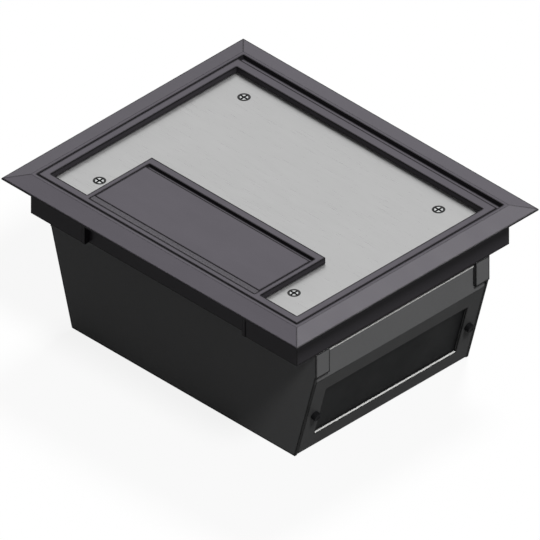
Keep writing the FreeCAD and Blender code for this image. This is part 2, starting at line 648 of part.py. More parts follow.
def make_flap():
    lip_y = FLAP_FRONT_Y + FLAP_LIP_WIDTH
    panel = block(-FLAP_X, FLAP_X, lip_y, FLAP_REAR_Y, FLAP_UNDER_Z, RIM_Z)
    tongue = block(-FLAP_X, FLAP_X, FLAP_REAR_Y - FLAP_RIB, FLAP_TONGUE_REAR_Y,
                   FLAP_TONGUE_Z - FLAP_TONGUE_THICKNESS, FLAP_TONGUE_Z)
    rib_x = FLAP_OPENING_X - FLAP_SEAT - FLAP_RIB
    rib_front = lip_y + FLAP_RIB
    rib_rear = TROUGH_FRONT_Y - FLAP_RIB
    rib_low = FLAP_UNDER_Z - FLAP_RIB_DEPTH
    frame = block(-rib_x, rib_x, rib_front, rib_rear, rib_low, FLAP_UNDER_Z + CUT / 2)
    inside = block(-rib_x + FLAP_RIB, rib_x - FLAP_RIB, rib_front + FLAP_RIB, rib_rear - FLAP_RIB,
                   rib_low - CUT, FLAP_UNDER_Z)
    cross_ribs = [block(x - FLAP_RIB / 2, x + FLAP_RIB / 2, rib_front + CUT / 2, rib_rear - CUT / 2,
                        rib_low, FLAP_UNDER_Z + CUT / 2)
                  for x in (-rib_x / 2, 0, rib_x / 2)]
    ears = []
    pins = []
    for side in SIDES:
        x0, x1 = sorted((side * (FLAP_X - FLAP_EAR_LENGTH), side * FLAP_X))
        ears.append(rod_x(FLAP_EAR_RADIUS, x0, x1, FLAP_HINGE_Y, FLAP_HINGE_Z))
        x0, x1 = sorted((side * (FLAP_X - FLAP_PIN_GRIP), side * (FLAP_X + CUT)))
        pins.append(rod_x(FLAP_PIN_RADIUS, x0, x1, FLAP_HINGE_Y, FLAP_HINGE_Z))
    shell = join([panel, tongue, less(frame, [inside])] + cross_ribs + ears)
    return less(shell, pins)


def make_flap_lip():
    """The soft front edge of the flap, which closes on the cables."""
    return block(-FLAP_X, FLAP_X, FLAP_FRONT_Y, FLAP_FRONT_Y + FLAP_LIP_WIDTH, FLAP_UNDER_Z, RIM_Z)


def make_flap_pins():
    start = FLAP_X - FLAP_PIN_GRIP
    end = FLAP_OPENING_X + FLAP_PIN_SOCKET - RUNNING_CLEARANCE * 2
    pin = rod_x(FLAP_PIN_RADIUS, start, end, FLAP_HINGE_Y, FLAP_HINGE_Z)
    return [pin, mirrored_x(pin)]


# Box

def pan_outline(inset):
    """Half outline of the folded pan, from the centre to the top, set in by the inset."""
    shift = inset / math.cos(TILT)
    end_x = END_FACE_X - inset
    foot_x = BASE_X - shift + inset * math.tan(TILT)
    bend_z = (end_x - BASE_X + shift) / math.tan(TILT)
    return [(foot_x, inset), (end_x, bend_z), (end_x, PAN_TOP_Z + (CUT if inset else 0))]


def pan_block(inset, half_y):
    half = pan_outline(inset)
    outline = [(-x, z) for x, z in reversed(half)] + half
    shape = prism_y(outline, -half_y, half_y)
    radius = BEND_RADIUS - inset * INNER_BEND_SHARE
    return rounded(shape, radius, lambda edge: along_y(edge) and edge.BoundBox.ZMax < PAN_TOP_Z - CUT)


def along_y(edge):
    box = edge.BoundBox
    return box.YLength > CUT and box.XLength < 0.01 and box.ZLength < 0.01


def base_hole_places():
    return [(x_side * BASE_HOLE_X, y_side * BASE_HOLE_Y)
            for x_side in SIDES for y_side in SIDES]


def make_pan():
    pan = less(pan_block(0.0, BOX_INNER_Y), [pan_block(SHEET, BOX_INNER_Y + CUT)])
    cuts = []
    for side in SIDES:
        middle = SLOPE_LENGTH / 2
        aperture = block(-SHEET - CUT, CUT, -APERTURE_Y, APERTURE_Y,
                         middle - APERTURE_HEIGHT / 2, middle + APERTURE_HEIGHT / 2)
        cuts.append(on_end(aperture, side))
        for y_side in SIDES:
            hole = rod_x(END_BUSH_SHANK_RADIUS, -SHEET - CUT, CUT, y_side * PLATE_SCREW_Y, middle)
            cuts.append(on_end(hole, side))
    for x, y in base_hole_places():
        cuts.append(rod_z(BASE_HOLE_RADIUS, -CUT, SHEET + CUT, x, y))
    for side in SIDES:
        ring = rod_z(KNOCKOUT_RADIUS, -CUT, KNOCKOUT_GROOVE, side * ENTRY_X, 0)
        core = rod_z(KNOCKOUT_RADIUS - KNOCKOUT_GROOVE, -CUT, KNOCKOUT_GROOVE, side * ENTRY_X, 0)
        cuts.append(ring.cut(core))
    for x, y in rivet_places():
        cuts.append(rod_z(RIVET_RADIUS, -CUT, SHEET + CUT, x, y))
    return less(pan, cuts)


def make_wall():
    """The rear long wall, with its turned-in corner flanges."""
    half = [(BASE_X, 0.0), (BASE_X + TAB_BOTTOM_Z * math.tan(TILT), TAB_BOTTOM_Z),
            (END_FACE_X + SHEET, TAB_BOTTOM_Z), (END_FACE_X + SHEET, TAB_TOP_Z),
            (WALL_TOP_X, TAB_TOP_Z), (WALL_TOP_X, SHELF_UNDER_Z)]
    outline = [(-x, z) for x, z in reversed(half)] + half
    wall = prism_y(outline, BOX_INNER_Y, BOX_Y)
    tabs = []
    for side in SIDES:
        x0, x1 = sorted((side * END_FACE_X, side * (END_FACE_X + SHEET)))
        tabs.append(block(x0, x1, BOX_Y - TAB_WIDTH, BOX_Y - CUT / 2, TAB_BOTTOM_Z, TAB_TOP_Z))
    return join([wall] + tabs)


def make_wall_flange():
    """The strip welded along the rear wall's top, which hangs the box from the shelf."""
    flange = block(-BOX_FLANGE_X, BOX_FLANGE_X, BOX_Y, BOX_Y + BOX_FLANGE_REACH,
                   SHELF_UNDER_Z - SHEET, SHELF_UNDER_Z)
    hole_radius = BOX_SCREW_RADIUS + BOX_SCREW_CLEARANCE
    return less(flange, [rod_z(hole_radius, SHELF_UNDER_Z - SHEET - CUT, SHELF_UNDER_Z + CUT, x, y)
                         for x, y in shelf_screw_places() if y > 0])


def make_entries():
    """Cuts for the conduit entries in the rear wall."""
    return [rod_y(ENTRY_RADIUS, BOX_INNER_Y - CUT, BOX_Y + CUT, side * ENTRY_X, ENTRY_Z) for side in SIDES]


def make_box_screws():
    length = SHELF_THICKNESS + SHEET + BOX_NUT_THICKNESS + BOX_SCREW_TIP
    return [pan_head_screw(BOX_SCREW_RADIUS, BOX_SCREW_HEAD_RADIUS, BOX_SCREW_HEAD_HEIGHT, length,
                           x, y, SHELF_Z)
            for x, y in shelf_screw_places()]


def make_box_nuts():
    top = SHELF_UNDER_Z - SHEET
    return [hexagon(BOX_NUT_FLATS, top - BOX_NUT_THICKNESS, top, x, y).cut(
            rod_z(BOX_SCREW_RADIUS, top - BOX_NUT_THICKNESS - CUT, top + CUT, x, y))
            for x, y in shelf_screw_places()]


# End plates, with threaded bushes that stand out of the sloped ends

def make_end_plate(side):
    middle = SLOPE_LENGTH / 2
    plate = block(-SHEET - ACCESSORY_SHEET, -SHEET, -ACCESSORY_Y, ACCESSORY_Y,
                  middle - ACCESSORY_WIDTH / 2, middle + ACCESSORY_WIDTH / 2)
    holes = [rod_x(PLATE_SCREW_RADIUS, -SHEET - ACCESSORY_SHEET - CUT, 0, y_side * PLATE_SCREW_Y, middle)
             for y_side in SIDES]
    return on_end(less(plate, holes), side)


def make_end_bushes():
    bushes = []
    for side in SIDES:
        for y_side in SIDES:
            y = y_side * PLATE_SCREW_Y
            middle = SLOPE_LENGTH / 2
            head = rod_x(END_BUSH_RADIUS, 0, END_BUSH_HEIGHT, y, middle)
            head = rounded(head, END_BUSH_HEIGHT / 5, lambda edge: edge.BoundBox.XMin > END_BUSH_HEIGHT / 2)
            shank = rod_x(END_BUSH_SHANK_RADIUS, -SHEET, CUT, y, middle)
            bore = rod_x(PLATE_SCREW_RADIUS, -SHEET - CUT, END_BUSH_HEIGHT + CUT, y, middle)
            bushes.append(on_end(less(join([head, shank]), [bore]), side))
    return bushes


def make_end_screws():
    screws = []
    for side in SIDES:
        for y_side in SIDES:
            screw = pan_head_screw(PLATE_SCREW_RADIUS, PLATE_SCREW_HEAD_RADIUS, PLATE_SCREW_HEAD_HEIGHT,
                                   PLATE_SCREW_LENGTH - CUT, 0, 0, 0)
            screw = turned(screw, -90, Vector(0, 1, 0))
            screw = moved(screw, -SHEET - ACCESSORY_SHEET, y_side * PLATE_SCREW_Y, SLOPE_LENGTH / 2)
            screws.append(on_end(screw, side))
    return screws


# Rails and dividers

def make_rail():
    """The rear rail: an angle on the long wall that carries one end of the accessory plates."""
    leg = block(-RAIL_X, RAIL_X, BOX_INNER_Y - RAIL_SHEET, BOX_INNER_Y, RAIL_TOP_Z - RAIL_HEIGHT, RAIL_TOP_Z)
    top = block(-RAIL_X, RAIL_X, BOX_INNER_Y - RAIL_LEG, BOX_INNER_Y, RAIL_TOP_Z - RAIL_SHEET, RAIL_TOP_Z)
    holes = [rod_z(PLATE_SCREW_RADIUS, RAIL_TOP_Z - RAIL_SHEET - CUT, RAIL_TOP_Z + CUT, x, PLATE_SCREW_Y)
             for x in (SOCKET_X, DATA_X, BLANK_X)]
    return less(join([leg, top]), holes)


def make_rail_nuts():
    top = RAIL_TOP_Z - RAIL_SHEET
    nuts = []
    for x in (SOCKET_X, DATA_X, BLANK_X):
        for side in SIDES:
            y = side * PLATE_SCREW_Y
            nut = rod_z(PLATE_NUT_RADIUS, top - PLATE_NUT_HEIGHT, top, x, y)
            nuts.append(nut.cut(rod_z(PLATE_SCREW_RADIUS, top - PLATE_NUT_HEIGHT - CUT, top + CUT, x, y)))
    return nuts


def divider_centre(side):
    return side * ACCESSORY_PITCH / 2


def rivet_places():
    return [(divider_centre(side) + side * (DIVIDER_SHEET + DIVIDER_FOOT) / 2, y_side * RIVET_Y)
            for side in SIDES for y_side in SIDES]


def make_divider(side):
    """A screen between two compartments, notched round the rails, with a riveted foot."""
    x = divider_centre(side)
    half = DIVIDER_SHEET / 2
    half_y = BOX_INNER_Y - DIVIDER_SIDE_GAP
    web = block(x - half, x + half, -half_y, half_y, SHEET, DIVIDER_TOP_Z)
    foot_x0, foot_x1 = sorted((x, x + side * (half + DIVIDER_FOOT)))
    foot = block(foot_x0, foot_x1, -half_y, half_y, SHEET, SHEET + DIVIDER_SHEET)
    cuts = []
    for y_side in SIDES:
        y0, y1 = sorted((y_side * (BOX_INNER_Y - RAIL_LEG - DIVIDER_NOTCH_GAP), y_side * BOX_Y))
        cuts.append(block(x - CUT, x + CUT, y0, y1, RAIL_TOP_Z - RAIL_HEIGHT - DIVIDER_NOTCH_GAP,
                          RAIL_TOP_Z + DIVIDER_NOTCH_GAP))
    for rivet_x, rivet_y in rivet_places():
        cuts.append(rod_z(RIVET_RADIUS, SHEET - CUT, SHEET + DIVIDER_SHEET + CUT, rivet_x, rivet_y))
    return less(join([web, foot]), cuts)


def make_rivets():
    rivets = []
    for x, y in rivet_places():
        seat = SHEET + DIVIDER_SHEET
        head = rod_z(RIVET_HEAD_RADIUS, seat, seat + RIVET_HEAD_HEIGHT, x, y)
        head = rounded(head, RIVET_HEAD_HEIGHT / 2, lambda edge: edge.BoundBox.ZMin > seat + CUT / 2)
        rivets.append(join([head, rod_z(RIVET_RADIUS, 0, seat + CUT / 4, x, y)]))
    return rivets


# Accessory plates on the rails

def accessory_blank(x, thickness):
    """A plain plate on the rails, with its two fixing holes."""
    top = RAIL_TOP_Z + thickness
    half = ACCESSORY_WIDTH / 2
    plate = block(x - half, x + half, -ACCESSORY_Y, ACCESSORY_Y, RAIL_TOP_Z, top)
    holes = [rod_z(PLATE_SCREW_RADIUS, RAIL_TOP_Z - CUT, top + CUT, x, side * PLATE_SCREW_Y)
             for side in SIDES]
    return less(plate, holes)


def make_plate_screws():
    seats = ((SOCKET_X, SOCKET_TOP_Z), (DATA_X, DATA_TOP_Z), (BLANK_X, DATA_TOP_Z))
    return [pan_head_screw(PLATE_SCREW_RADIUS, PLATE_SCREW_HEAD_RADIUS, PLATE_SCREW_HEAD_HEIGHT,
                           PLATE_SCREW_LENGTH, x, side * PLATE_SCREW_Y, z)
            for x, z in seats for side in SIDES]


# Twin switched socket outlet

def live_slot_centres():
    """Places of the live and neutral slots of both outlets, as (x, y)."""
    return [(SOCKET_X + LIVE_SLOT_V, side * SOCKET_OFFSET + pin * PIN_PITCH / 2)
            for side in SIDES for pin in SIDES]


def earth_slot_centres():
    return [(SOCKET_X + EARTH_SLOT_V, side * SOCKET_OFFSET) for side in SIDES]


def make_socket_plate():
    plate = accessory_blank(SOCKET_X, SOCKET_PLATE_THICKNESS)
    plate = rounded(plate, SOCKET_EDGE_RADIUS, is_plate_border)
    ears = []
    cuts = []
    z0, z1 = RAIL_TOP_Z - CUT, SOCKET_TOP_Z + CUT
    for x, y in live_slot_centres():
        cuts.append(block(x - LIVE_SLOT_WIDTH / 2, x + LIVE_SLOT_WIDTH / 2,
                          y - LIVE_SLOT_LENGTH / 2, y + LIVE_SLOT_LENGTH / 2, z0, z1))
    for x, y in earth_slot_centres():
        cuts.append(block(x - EARTH_SLOT_HEIGHT / 2, x + EARTH_SLOT_HEIGHT / 2,
                          y - EARTH_SLOT_WIDTH / 2, y + EARTH_SLOT_WIDTH / 2, z0, z1))
    half_u = ROCKER_WIDTH / 2 + ROCKER_GAP
    half_v = ROCKER_LENGTH / 2 + ROCKER_GAP
    for side in SIDES:
        y = side * ROCKER_OFFSET
        window = block(SOCKET_X - half_v, SOCKET_X + half_v, y - half_u, y + half_u, z0 - ROCKER_DEPTH, z1)
        cuts.append(window)
        for ear_side in SIDES:
            y0, y1 = sorted((y + ear_side * half_u, y + ear_side * (half_u + ROCKER_EAR)))
            ear = rod_y(ROCKER_EAR_RADIUS, y0, y1, SOCKET_X, ROCKER_PIVOT_Z)
            ears.append(ear.common(block(SOCKET_X - half_v, SOCKET_X + half_v, y0, y1,
                                         RAIL_TOP_Z - ROCKER_DEPTH, SOCKET_TOP_Z - CUT / 2)))
        cuts.append(rod_y(ROCKER_PIVOT_RADIUS + RUNNING_CLEARANCE, y - half_u - ROCKER_EAR - CUT / 4,
                          y + half_u + ROCKER_EAR + CUT / 4, SOCKET_X, ROCKER_PIVOT_Z))
    return less(join([plate] + ears), cuts)


def is_plate_border(edge):
    """Top border edges of the socket plate."""
    box = edge.BoundBox
    long_enough = max(box.XLength, box.YLength) > ACCESSORY_WIDTH / 2
    return long_enough and box.ZMin > SOCKET_TOP_Z - CUT / 10


def make_rocker(side):
    """A switch rocker at its off position: one half level, the other raised."""
    y = side * ROCKER_OFFSET
    half = ROCKER_LENGTH / 2
    centre_z = SOCKET_TOP_Z + ROCKER_PROUD - half * math.tan(math.radians(ROCKER_TILT))
    end_z = SOCKET_TOP_Z + ROCKER_PROUD
    low_z = ROCKER_PIVOT_Z - ROCKER_DEPTH
    outline = [(SOCKET_X - half, end_z), (SOCKET_X, centre_z), (SOCKET_X + half, end_z),
               (SOCKET_X + half, RAIL_TOP_Z), (SOCKET_X + half / 4, low_z),
               (SOCKET_X - half / 4, low_z), (SOCKET_X - half, RAIL_TOP_Z)]
    body = prism_y(outline, y - ROCKER_WIDTH / 2, y + ROCKER_WIDTH / 2)
    reach = ROCKER_WIDTH / 2 + ROCKER_GAP + ROCKER_EAR
    pivot = rod_y(ROCKER_PIVOT_RADIUS, y - reach, y + reach, SOCKET_X, ROCKER_PIVOT_Z)
    rocker = join([body, pivot])
    return turned(rocker, ROCKER_TILT, Vector(0, 1, 0), Vector(SOCKET_X, y, ROCKER_PIVOT_Z))


def make_socket_housing():
    """The open-topped moulding behind the plate, with posts for springs and live parts."""
    half_x, half_y = HOUSING_WIDTH / 2, HOUSING_Y
    outer = block(SOCKET_X - half_x, SOCKET_X + half_x, -half_y, half_y, HOUSING_Z, RAIL_TOP_Z)
    inner = block(SOCKET_X - half_x + HOUSING_WALL, SOCKET_X + half_x - HOUSING_WALL, -half_y + HOUSING_WALL,
                  half_y - HOUSING_WALL, CONTACT_Z, RAIL_TOP_Z + CUT)
    posts = [block(SOCKET_X - half_x + HOUSING_WALL / 2, spring_start_x(), y - SPRING_RADIUS - CUT,
                   y + SPRING_RADIUS + CUT, HOUSING_Z + HOUSING_WALL / 2, SHUTTER_TOP_Z)
             for y in (-SOCKET_OFFSET, SOCKET_OFFSET)]
    low = CONTACT_Z - CUT / 2
    x = SOCKET_X + LIVE_SLOT_V
    posts += [square_post(x, y, PIN_LIVE_WIDTH / 2, low, LIVE_Z) for y in live_contact_y()]
    posts.append(square_post(SOCKET_X - TERMINAL_V, 0, TERMINAL_BLOCK / 2, low, LIVE_Z))
    posts += [square_post(SOCKET_X + v, side * ROCKER_OFFSET, SWITCH_TIP_WIDTH / 2, low, LIVE_Z)
              for v in (-SWITCH_TIP_V, SWITCH_TIP_V) for side in SIDES]
    return join([less(outer, [inner])] + posts)


def square_post(x, y, half, z0, z1):
    return block(x - half, x + half, y - half, y + half, z0, z1)


def shutter_front_x():
    """The edge of the closed shutter that its spring pushes on."""
    return SOCKET_X + LIVE_SLOT_V - SHUTTER_BAR / 2


def spring_start_x():
    return shutter_front_x() - SPRING_LENGTH


def make_shutter(side):
    """A sliding shutter that covers the live and neutral slots until the earth pin moves it."""
    y = side * SOCKET_OFFSET
    z0, z1 = SHUTTER_TOP_Z - SHUTTER_THICKNESS, SHUTTER_TOP_Z
    front = shutter_front_x()
    bar = block(front, front + SHUTTER_BAR, y - SHUTTER_LENGTH / 2, y + SHUTTER_LENGTH / 2, z0, z1)
    pad_half = SPRING_RADIUS + SPRING_WIRE_RADIUS
    pad = block(front, front + SPRING_PAD, y - pad_half, y + pad_half, SPRING_Z - pad_half, z1)
    head_x0 = SOCKET_X + EARTH_SLOT_V - EARTH_SLOT_HEIGHT / 2 - SHUTTER_GAP
    web = block(front + CUT, head_x0, y - SHUTTER_WEB / 2, y + SHUTTER_WEB / 2, z0, z1)
    ramp = [(head_x0 - CUT, z1), (head_x0, z1), (head_x0 + SHUTTER_HEAD_WIDTH, z0 - SHUTTER_HEAD_WIDTH),
            (head_x0 - CUT, z0 - SHUTTER_HEAD_WIDTH)]
    head = prism_y(ramp, y - SHUTTER_HEAD_LENGTH / 2, y + SHUTTER_HEAD_LENGTH / 2)
    return join([bar, pad, web, head])


def make_shutter_spring(side):
    """A compression spring along X between the housing's post and the shutter."""
    pitch = (SPRING_LENGTH - 2 * SPRING_WIRE_RADIUS) / SPRING_TURNS
    coil = Part.makeHelix(pitch, pitch * SPRING_TURNS, SPRING_RADIUS)
    ring = Part.Wire(Part.makeCircle(SPRING_WIRE_RADIUS, Vector(SPRING_RADIUS, 0, 0), Vector(0, 1, 0)))
    spring = turned(Part.Wire(coil).makePipeShell([ring], True, True), 90, Vector(0, 1, 0))
    return moved(spring, spring_start_x() + SPRING_WIRE_RADIUS, side * SOCKET_OFFSET, SPRING_Z)


def contact_grip(x, y, half_x, half_y, z0):
    """A folded contact for one plug pin. Its two leaves face the pin's flat sides."""
    outer_x, outer_y = half_x, half_y
    inner_x, inner_y = half_x, half_y
    if half_x < half_y:
        outer_x += CONTACT_SHEET
        inner_y += CUT
    else:
        outer_y += CONTACT_SHEET
        inner_x += CUT
    outer = block(x - outer_x, x + outer_x, y - outer_y, y + outer_y, z0, GRIP_TOP_Z)
    inner = block(x - inner_x, x + inner_x, y - inner_y, y + inner_y, z0 + CONTACT_SHEET, GRIP_TOP_Z + CUT)
    return less(outer, [inner])


def strip(x0, x1, y0, y1, z0):
    """A flat copper strip between two points, wide by half its width beyond each."""
    half = CONTACT_STRIP / 2
    return block(min(x0, x1) - half, max(x0, x1) + half, min(y0, y1) - half, max(y0, y1) + half,
                 z0, z0 + CONTACT_SHEET)


def terminal_block(x, y, z0):
    """A clamping block with a hole for the wire along X and a tapped hole for its screw."""
    body = square_post(x, y, TERMINAL_BLOCK / 2, z0, z0 + TERMINAL_BLOCK_HEIGHT)
    middle = z0 + TERMINAL_BLOCK_HEIGHT / 2
    wire = rod_x(TERMINAL_BORE_RADIUS, x - TERMINAL_BLOCK, x + TERMINAL_BLOCK, y, middle)
    thread = rod_z(TERMINAL_THREAD_RADIUS, middle, z0 + TERMINAL_BLOCK_HEIGHT + CUT, x, y)
    return less(body, [wire, thread])


def terminal_places():
    """Earth, neutral and live terminals, as (x, y, z of the block's underside)."""
    return [(SOCKET_X + TERMINAL_V, 0, CONTACT_Z), (SOCKET_X - TERMINAL_V, TERMINAL_NEUTRAL_Y, CONTACT_Z),
            (SOCKET_X - TERMINAL_V, 0, LIVE_Z)]


def neutral_contact_y():
    return [side * SOCKET_OFFSET + PIN_PITCH / 2 for side in SIDES]


def live_contact_y():
    return [side * SOCKET_OFFSET - PIN_PITCH / 2 for side in SIDES]


def make_earth_bar():
    x = SOCKET_X + EARTH_SLOT_V
    earth = terminal_places()[0]
    pieces = [contact_grip(x, side * SOCKET_OFFSET, PIN_EARTH_WIDTH / 2, PIN_THICKNESS / 2, CONTACT_Z)
              for side in SIDES]
    pieces.append(strip(x, x, -SOCKET_OFFSET, SOCKET_OFFSET, CONTACT_Z))
    pieces.append(strip(x, earth[0] - TERMINAL_BLOCK / 2, 0, 0, CONTACT_Z))
    pieces.append(terminal_block(*earth))
    return join(pieces)


def make_neutral_bar():
    x = SOCKET_X + LIVE_SLOT_V
    strip_x = SOCKET_X + NEUTRAL_STRIP_V
    neutral = terminal_places()[1]
    first, last = neutral_contact_y()
    pieces = [strip(strip_x, strip_x, first, last, CONTACT_Z)]
    for y in (first, last):
        pieces.append(contact_grip(x, y, PIN_THICKNESS / 2, PIN_LIVE_WIDTH / 2, CONTACT_Z))
        pieces.append(strip(strip_x, x, y, y, CONTACT_Z))
    pieces.append(strip(neutral[0] + TERMINAL_BLOCK / 2, strip_x, neutral[1], neutral[1], CONTACT_Z))
    pieces.append(terminal_block(*neutral))
    return join(pieces)


def switch_tip(v, side, z0):
    """An upright that ends under a rocker."""
    return square_post(SOCKET_X + v, side * ROCKER_OFFSET, SWITCH_TIP_WIDTH / 2, z0, GRIP_TOP_Z)


def make_live_contacts():
    """The supply strip from the terminal to both switches, and the switched contact of each outlet."""
    x = SOCKET_X + LIVE_SLOT_V
    live = terminal_places()[2]
    supply_x = SOCKET_X + SWITCH_TIP_V
    supply = [terminal_block(*live), strip(live[0] + TERMINAL_BLOCK / 2, supply_x, 0, 0, LIVE_Z),
              strip(supply_x, supply_x, -ROCKER_OFFSET, ROCKER_OFFSET, LIVE_Z)]
    supply += [switch_tip(SWITCH_TIP_V, side, LIVE_Z) for side in SIDES]
    contacts = [join(supply)]
    for side, y in zip(SIDES, live_contact_y()):
        end_y = side * ROCKER_OFFSET
        switch_x = SOCKET_X + SWITCH_STRIP_V
        pieces = [contact_grip(x, y, PIN_THICKNESS / 2, PIN_LIVE_WIDTH / 2, LIVE_Z),
                  strip(x, switch_x, y, y, LIVE_Z), strip(switch_x, switch_x, y, end_y, LIVE_Z),
                  strip(SOCKET_X - SWITCH_TIP_V, switch_x, end_y, end_y, LIVE_Z),
                  switch_tip(-SWITCH_TIP_V, side, LIVE_Z)]
        contacts.append(join(pieces))
    return contacts


def make_terminal_screws():
    screws = []
    for x, y, z0 in terminal_places():
        seat = z0 + TERMINAL_BLOCK_HEIGHT
        shank = rod_z(TERMINAL_THREAD_RADIUS, z0 + TERMINAL_BLOCK_HEIGHT / 2 + TERMINAL_BORE_RADIUS / 2,
                      seat, x, y)
        head = rod_z(TERMINAL_HEAD_RADIUS, seat, seat + TERMINAL_HEAD_HEIGHT, x, y)
        slot = block(x - TERMINAL_BLOCK, x + TERMINAL_BLOCK, y - CROSS_ARM_WIDTH / 2, y + CROSS_ARM_WIDTH / 2,
                     seat + TERMINAL_HEAD_HEIGHT - CROSS_DEPTH, seat + TERMINAL_HEAD_HEIGHT + CUT)
        screws.append(less(join([shank, head]), [slot]))
    return screws


# Data plate

def outlet_places():
    first = -OUTLET_PITCH * (OUTLET_COUNT - 1) / 2
    return [(DATA_X, first + OUTLET_PITCH * index) for index in range(OUTLET_COUNT)]


def make_data_plate():
    half_x = OUTLET_BEZEL_LENGTH / 2 - OUTLET_BODY_MARGIN + OUTLET_FIT
    half_y = OUTLET_BEZEL_WIDTH / 2 - OUTLET_BODY_MARGIN + OUTLET_FIT
    cuts = [block(x - half_x, x + half_x, y - half_y, y + half_y, RAIL_TOP_Z - CUT, DATA_TOP_Z + CUT)
            for x, y in outlet_places()]
    return less(accessory_blank(DATA_X, ACCESSORY_SHEET), cuts)


def make_outlets():
    outlets = []
    for x, y in outlet_places():
        half_x, half_y = OUTLET_BEZEL_LENGTH / 2, OUTLET_BEZEL_WIDTH / 2
        top = DATA_TOP_Z + OUTLET_BEZEL_THICKNESS
        bezel = block(x - half_x, x + half_x, y - half_y, y + half_y, DATA_TOP_Z, top)
        body = block(x - half_x + OUTLET_BODY_MARGIN, x + half_x - OUTLET_BODY_MARGIN,
                     y - half_y + OUTLET_BODY_MARGIN, y + half_y - OUTLET_BODY_MARGIN,
                     top - OUTLET_BODY_DEPTH, DATA_TOP_Z + CUT / 2)
        jack = block(x - JACK_HEIGHT / 2, x + JACK_HEIGHT / 2, y - JACK_WIDTH / 2, y + JACK_WIDTH / 2,
                     top - JACK_DEPTH, top + CUT)
        latch = block(x - JACK_HEIGHT / 2 - JACK_LATCH_HEIGHT, x, y - JACK_LATCH_WIDTH / 2,
                      y + JACK_LATCH_WIDTH / 2, top - JACK_DEPTH, top + CUT)
        outlets.append(less(join([bezel, body]), [jack, latch]))
    return outlets


# Earth stud

def make_stud():
    flange = rod_z(STUD_FLANGE_RADIUS, SHEET, SHEET + STUD_FLANGE_HEIGHT, STUD_X, STUD_Y)
    return join([flange, rod_z(STUD_RADIUS, SHEET, SHEET + STUD_HEIGHT, STUD_X, STUD_Y)])


def make_stud_nuts():
    pieces = []
    z = SHEET + STUD_FLANGE_HEIGHT
    for _ in range(STUD_NUTS):
        washer = rod_z(STUD_WASHER_RADIUS, z, z + STUD_WASHER_THICKNESS, STUD_X, STUD_Y)
        bore = rod_z(STUD_RADIUS, z - CUT, z + STUD_HEIGHT, STUD_X, STUD_Y)
        pieces.append(washer.cut(bore))
        z += STUD_WASHER_THICKNESS
        nut = hexagon(STUD_NUT_FLATS, z, z + STUD_NUT_THICKNESS, STUD_X, STUD_Y)
        pieces.append(nut.cut(bore))
        z += STUD_NUT_THICKNESS
    return pieces


# Floor clamps

def make_clamp_screw(x, y):
    tip_z = SKIRT_Z - CLAW_TOP_GAP - CLAW_TRAVEL - CLAW_LEAST_GRIP
    length = SHELF_Z - tip_z
    return pan_head_screw(CLAMP_SCREW_RADIUS, CLAMP_HEAD_RADIUS, CLAMP_HEAD_HEIGHT, length, x, y, SHELF_Z)


def make_clamp_clip(x, y):
    top = SHELF_UNDER_Z - CLAMP_CLIP_GAP
    ring = rod_z(CLAMP_CLIP_RADIUS, top - CLAMP_CLIP_THICKNESS, top, x, y)
    return ring.cut(rod_z(CLAMP_SCREW_RADIUS, top - CLAMP_CLIP_THICKNESS - CUT, top + CUT, x, y))


def make_claw(x, y):
    """A claw in its stored place, along the wall; a clockwise quarter turn swings it out."""
    top = SKIRT_Z - CLAW_TOP_GAP
    toward = 1 if y < 0 else -1
    hub = rod_z(CLAW_HUB_RADIUS, top - CLAW_HUB_HEIGHT, top, x, y)
    x0, x1 = sorted((x, x + toward * (CLAW_REACH - CLAW_WIDTH / 2)))
    arm = block(x0, x1, y - CLAW_WIDTH / 2, y + CLAW_WIDTH / 2, top - CLAW_THICKNESS, top)
    tip = rod_z(CLAW_WIDTH / 2, top - CLAW_THICKNESS, top, x + toward * (CLAW_REACH - CLAW_WIDTH / 2), y)
    bore = rod_z(CLAMP_SCREW_RADIUS + RUNNING_CLEARANCE, top - CLAW_HUB_HEIGHT - CUT, top + CUT, x, y)
    return less(join([hub, arm, tip]), [bore])


